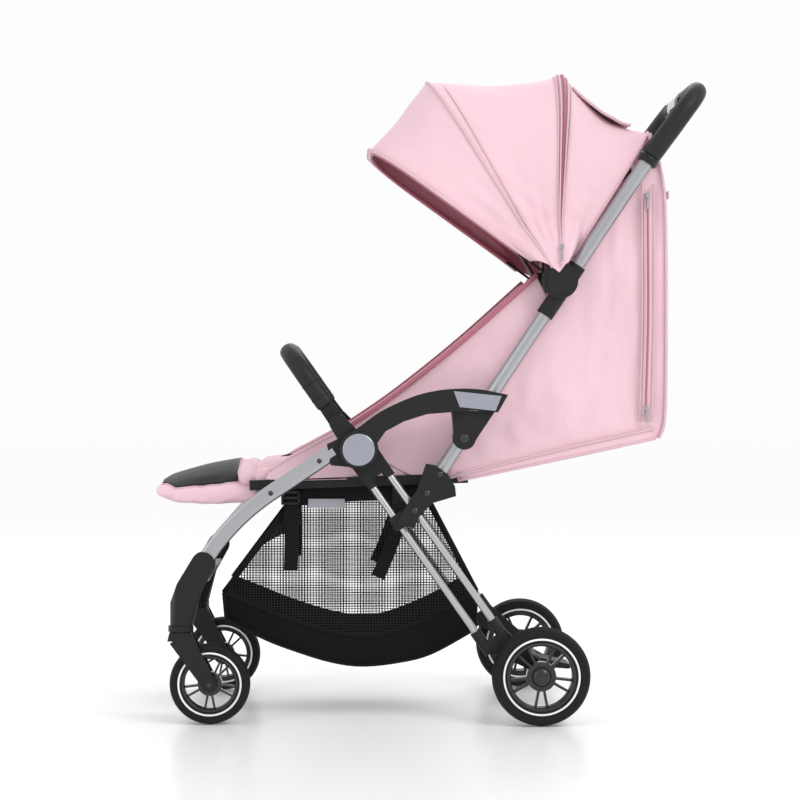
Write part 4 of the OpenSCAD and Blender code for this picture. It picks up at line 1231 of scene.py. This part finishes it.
# ---------------------------------------------------------------- wheels
def make_wheel(side, s, where, r, width, body, rim_node, tyre_node, seat):
    """A tyre with its white rings, hub cap, rim flange and bosses."""
    c = joint_place(f"{where}_wheel_spin_{side}")
    w = width / 2
    groove = r * 0.055
    profile = [(seat, -w * 0.84), (seat + 0.001, -w * 0.9), (seat + r * 0.03, -w * 0.93),
               (seat + r * 0.06, -w * 0.97),
               (seat + groove + 0.0015, -w * 0.9), (seat + groove + 0.004, -w * 0.985)]
    crown = [(r - r * 0.012 - w * 0.5 * (1 - math.cos(a)) * 0.55, w * math.sin(a) * 0.985)
             for a in (math.radians(d) for d in (-74, -60, -46, -33))]
    tread = [(r - 0.0004, -w * 0.42), (r, -w * 0.22), (r - 0.0016, -w * 0.19), (r - 0.0016, -w * 0.13),
             (r, -w * 0.1)]
    half = profile + crown + tread
    full = half + [(a, -b) for a, b in reversed(half)]
    tyre = piece(f"{where}_tyre_skin_{side}", spun(full + [full[0]], c, 96), TYRE, body, (tyre_node,))
    bevel(tyre, 0.0004, 1, 50)
    ring_r = seat + r * 0.005
    for face, k in (("outer", s), ("inner", -s)):
        y = k * (w * 0.955)
        ring = [(ring_r + 0.0005, y), (ring_r + 0.0008, y + k * 0.0014), (ring_r + 0.0020, y + k * 0.002),
                (ring_r + 0.0035, y + k * 0.0014), (ring_r + 0.0038, y)]
        piece(f"{where}_white_ring_{side}_{face}", spun(ring + [ring[0]], c, 96), RING, body)
    boss = r * 0.2
    y = s * w * 0.92
    cap = [(0, y + s * 0.007), (boss * 0.35, y + s * 0.0066), (boss * 0.7, y + s * 0.0048),
           (boss * 0.95, y + s * 0.0018),
           (boss, y - s * 0.001), (boss * 0.96, y - s * 0.003)]
    piece(f"{where}_hub_cap_{side}", spun(cap, c, 48), RIM, body)
    lip = seat - r * 0.1
    edge = [(lip - 0.0005, s * w * 0.78), (lip + 0.001, s * w * 0.86), (seat - 0.003, s * w * 0.9),
            (seat - 0.001, s * w * 0.84),
            (seat - 0.002, s * w * 0.76)]
    piece(f"{where}_rim_flange_{side}", spun(edge + [edge[0]], c, 96), RIM, body)
    dots = bmesh.new()
    for k in range(5):
        a = math.radians(72 * k + 54)
        at = c + Vector((math.cos(a), 0, math.sin(a))) * boss * 1.32 + Vector((0, s * w * 0.5, 0))
        bmesh.ops.create_cone(dots, cap_ends=True, segments=12, radius1=boss * 0.16, radius2=boss * 0.12,
                              depth=0.004,
                              matrix=Matrix.Translation(at) @ Matrix.Rotation(-s * math.pi / 2, 4, "X"))
    piece(f"{where}_hub_bosses_{side}", dots, RIM, body, smooth=False)
    recolour(RIM, rim_node)


def make_wheels():
    """The four wheels, sized by their tyres in the frame."""
    for side, s in (("left", -1), ("right", 1)):
        for where in ("front", "rear"):
            tyre = f"{where}_tyre_{side}"
            lo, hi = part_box(tyre)
            r = (hi.x - lo.x) / 2
            make_wheel(side, s, where, r, hi.y - lo.y, f"{where}_wheel_{side}", f"{where}_rim_{side}",
                       tyre, r * 0.73)


# ---------------------------------------------------------------- handle, bumper bar, armrests
def u_path(p, slope, reach, half_w, corner, n=10):
    """A path up one side, round two corners, across, and down the other side."""
    d = Vector((math.cos(math.radians(slope)), 0, math.sin(math.radians(slope))))
    turn = [(corner * math.sin(math.pi / 2 * k / n),
             corner * math.cos(math.pi / 2 * k / n)) for k in range(n + 1)]
    near = [Vector((p[0], -half_w, p[2]))]
    near += [Vector((p[0], -half_w, p[2])) + d * (reach - corner) * k / 5 for k in range(1, 5)]
    near += [Vector((p[0], 0, p[2])) + d * (reach - corner + a) + Vector((0, -(half_w - corner) - b,
                                                                          0)) for a, b in turn]
    span = near[-1].y
    cross = [Vector((near[-1].x, span * (1 - k / 8), near[-1].z)) for k in range(1, 8)]
    far = [Vector((q.x, -q.y, q.z)) for q in reversed(near)]
    beyond = [Vector((near[-1].x, -span * k / 8, near[-1].z)) for k in range(8)]
    return near + cross + beyond + far


def make_grip():
    """The handle's cover with its end collars and seams."""
    tube_y = 0.168
    start = on_handle(0.534)
    path = u_path(start, TUBE_SLOPE - 2.6, 0.142, tube_y, 0.046)
    up = (-math.sin(math.radians(53)), 0, math.cos(math.radians(53)))
    ob = piece("handle_cover", tube_along(path, round_section(0.0162, 24), up), LEATHER, "handle_frame",
               ("handle_grip",))
    for v in ob.data.vertices:
        v.co += Vector(up) * ripple(v.co, 40, 0.0006)
    subdivide(ob)
    d = (on_handle(0.55) - start).normalized()
    for s in (-1, 1):
        c = Vector((start.x, s * tube_y, start.z))
        collar = [(0.0115, -0.006), (0.0158, -0.006), (0.0172, -0.003), (0.0172, 0.004), (0.0165, 0.006),
                  (0.0115, 0.006)]
        bm = spun(collar + [collar[0]], (0, 0, 0), 48, (0, 0, 1))
        bmesh.ops.transform(bm, verts=bm.verts, matrix=(
            Matrix.Translation(c) @ d.to_track_quat("Z", "Y").to_matrix().to_4x4()))
        piece("grip_collar_" + ("left" if s < 0 else "right"), bm, PLASTIC_FINE, "handle_frame")
        seam = [q + Vector(up) * 0.0163 for q in (path[:15] if s < 0 else path[-15:])]
        piece("grip_seam_" + ("left" if s < 0 else "right"), tube_along(seam, round_section(0.0007, 6)),
              LEATHER,
              "handle_frame")


def make_bumper():
    """The bumper bar's cover and its seams."""
    slope = 125
    start = polar(BUMPER_P, 0.030, slope)
    knuckle_width = 0.0135
    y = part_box("bumper_knuckles")[1].y - knuckle_width / 2
    path = u_path(start, slope, 0.110, y, 0.062)
    up = (-math.sin(math.radians(slope)), 0, math.cos(math.radians(slope)))
    section = [(b, a) for a, b in round_section(0.0148, 24, 0.80)]
    ob = piece("bumper_cover", tube_along(path, section, up), LEATHER, "bumper",
               ("bumper_bar",))
    subdivide(ob)
    d = Vector((math.cos(math.radians(slope)), 0, math.sin(math.radians(slope))))
    for s in (-1, 1):
        side = "left" if s < 0 else "right"
        for k, step in (("lower", 0.020), ("upper", 0.046)):
            c = Vector((start.x, s * y, start.z)) + d * step
            n = Vector(up)
            loop = [c + n * 0.0149 * math.cos(a) + Vector((0, 1, 0)) * 0.0120 * math.sin(a)
                    for a in (2 * math.pi * j / 32 for j in range(33))]
            piece(f"bumper_seam_{k}_{side}", tube_along(loop, round_section(0.0008, 6)), PLASTIC,
                  "bumper")
    recolour(PLASTIC, "bumper_knuckles")
    recolour(BUTTON, "bumper_button_left", "bumper_button_right")


def make_armrests():
    """The armrests' outer skins and the rings round the hub caps."""
    y0, y1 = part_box("armrest_inlays")[1].y - 0.0152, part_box("armrest_inlays")[1].y - 0.0012
    top = smooth_path([HUB + Vector((-0.006, 0, 0.031)), HUB + Vector((0.036, 0, 0.061)),
                       HUB + Vector((0.084, 0, 0.083)), HUB + Vector((0.120, 0, 0.0925)),
                       HUB + Vector((0.1566, 0, 0.096)), HUB + Vector((0.193, 0, 0.0948)),
                       PIVOT_A + Vector((0.0675, 0, 0.069))], 6)
    low = smooth_path([PIVOT_A + Vector((0.052, 0, 0.041)), PIVOT_A + Vector((0.012, 0, 0.0446)),
                       PIVOT_A + Vector((-0.015, 0, 0.042)), HUB + Vector((0.108, 0, 0.056)),
                       HUB + Vector((0.0716, 0, 0.0446)),
                       HUB + Vector((0.0425, 0, 0.029)), HUB + Vector((0.029, 0, 0.010))], 6)
    ring = [HUB + Vector((0.031 * math.cos(a), 0, 0.031 * math.sin(a)))
            for a in (math.radians(d) for d in range(10, -259, -12))]
    outline = top + low + ring
    bm = slab(outline, -y1 + 0.0001, -y0, 0.0042, 4)
    both("armrest_skin", bm, PLASTIC, "armrests")
    for s in (-1, 1):
        side = "left" if s < 0 else "right"
        rim = [(0.0262, 0.0), (0.0292, 0.0004), (0.0296, 0.0022), (0.0282, 0.0034), (0.0262, 0.0034)]
        y = y1 - 0.0008
        bm = spun([(r, s * (y + a)) for r, a in rim + [rim[0]]], (HUB.x, 0, HUB.z), 64)
        piece("hub_cap_surround_" + side, bm, PLASTIC_FINE, "rear_frame")




def finish_frame():
    """Materials of the frame pieces that keep their own shape."""
    recolour(CHROME, "rear_tubes")
    recolour(TUBE, "front_tubes", "handle_tubes", "front_cross_tube")
    recolour(STEEL, "hub_pins", "rear_axle")
    recolour(DARK_STEEL, "front_rivets", "armrest_rivets", "fan_rivets", "front_axle_left",
             "front_axle_right")
    recolour(PLASTIC, "hub_castings", "rear_housings", "brake_pedal", "front_sockets", "castor_housings",
             "fan_brackets", "slider_bushes", "seat_rails", "seat_pan", "harness_buckle", "legrest_board",
             "fold_lock", "zip_hoop", "front_hoop", "visor_hoop", "castor_fork_left", "castor_fork_right",
             "armrest_shells", "handle_sleeves")
    recolour(PLASTIC_FINE, "canopy_discs")
    recolour(BUTTON, "fold_trigger")
    recolour(RED, "harness_button")
    recolour(GREY, "footrest")
    recolour(LAVENDER, "hub_caps", "armrest_inlays")
    recolour(SILVER, "fold_housing")


make_stage()
finish_frame()
make_canopy()
make_vent_flap()
for at_side in (-1, 1):
    foot = skirt(arch_point(ZIP_ANGLE, ZIP_R, 0.04 if at_side < 0 else 0.96), ZIP_ANGLE)
    zip_pull("canopy_zip_pull_" + ("left" if at_side < 0 else "right"),
             foot + Vector((0, at_side * 0.005, 0.004)),
             "canopy_zip", at_side)
make_front_gussets()
make_rear_gussets()
make_back()
make_board()
make_seat()
make_seat_wings()
make_legrest()
make_harness()
make_basket()
make_wheels()
make_grip()
make_bumper()
make_armrests()
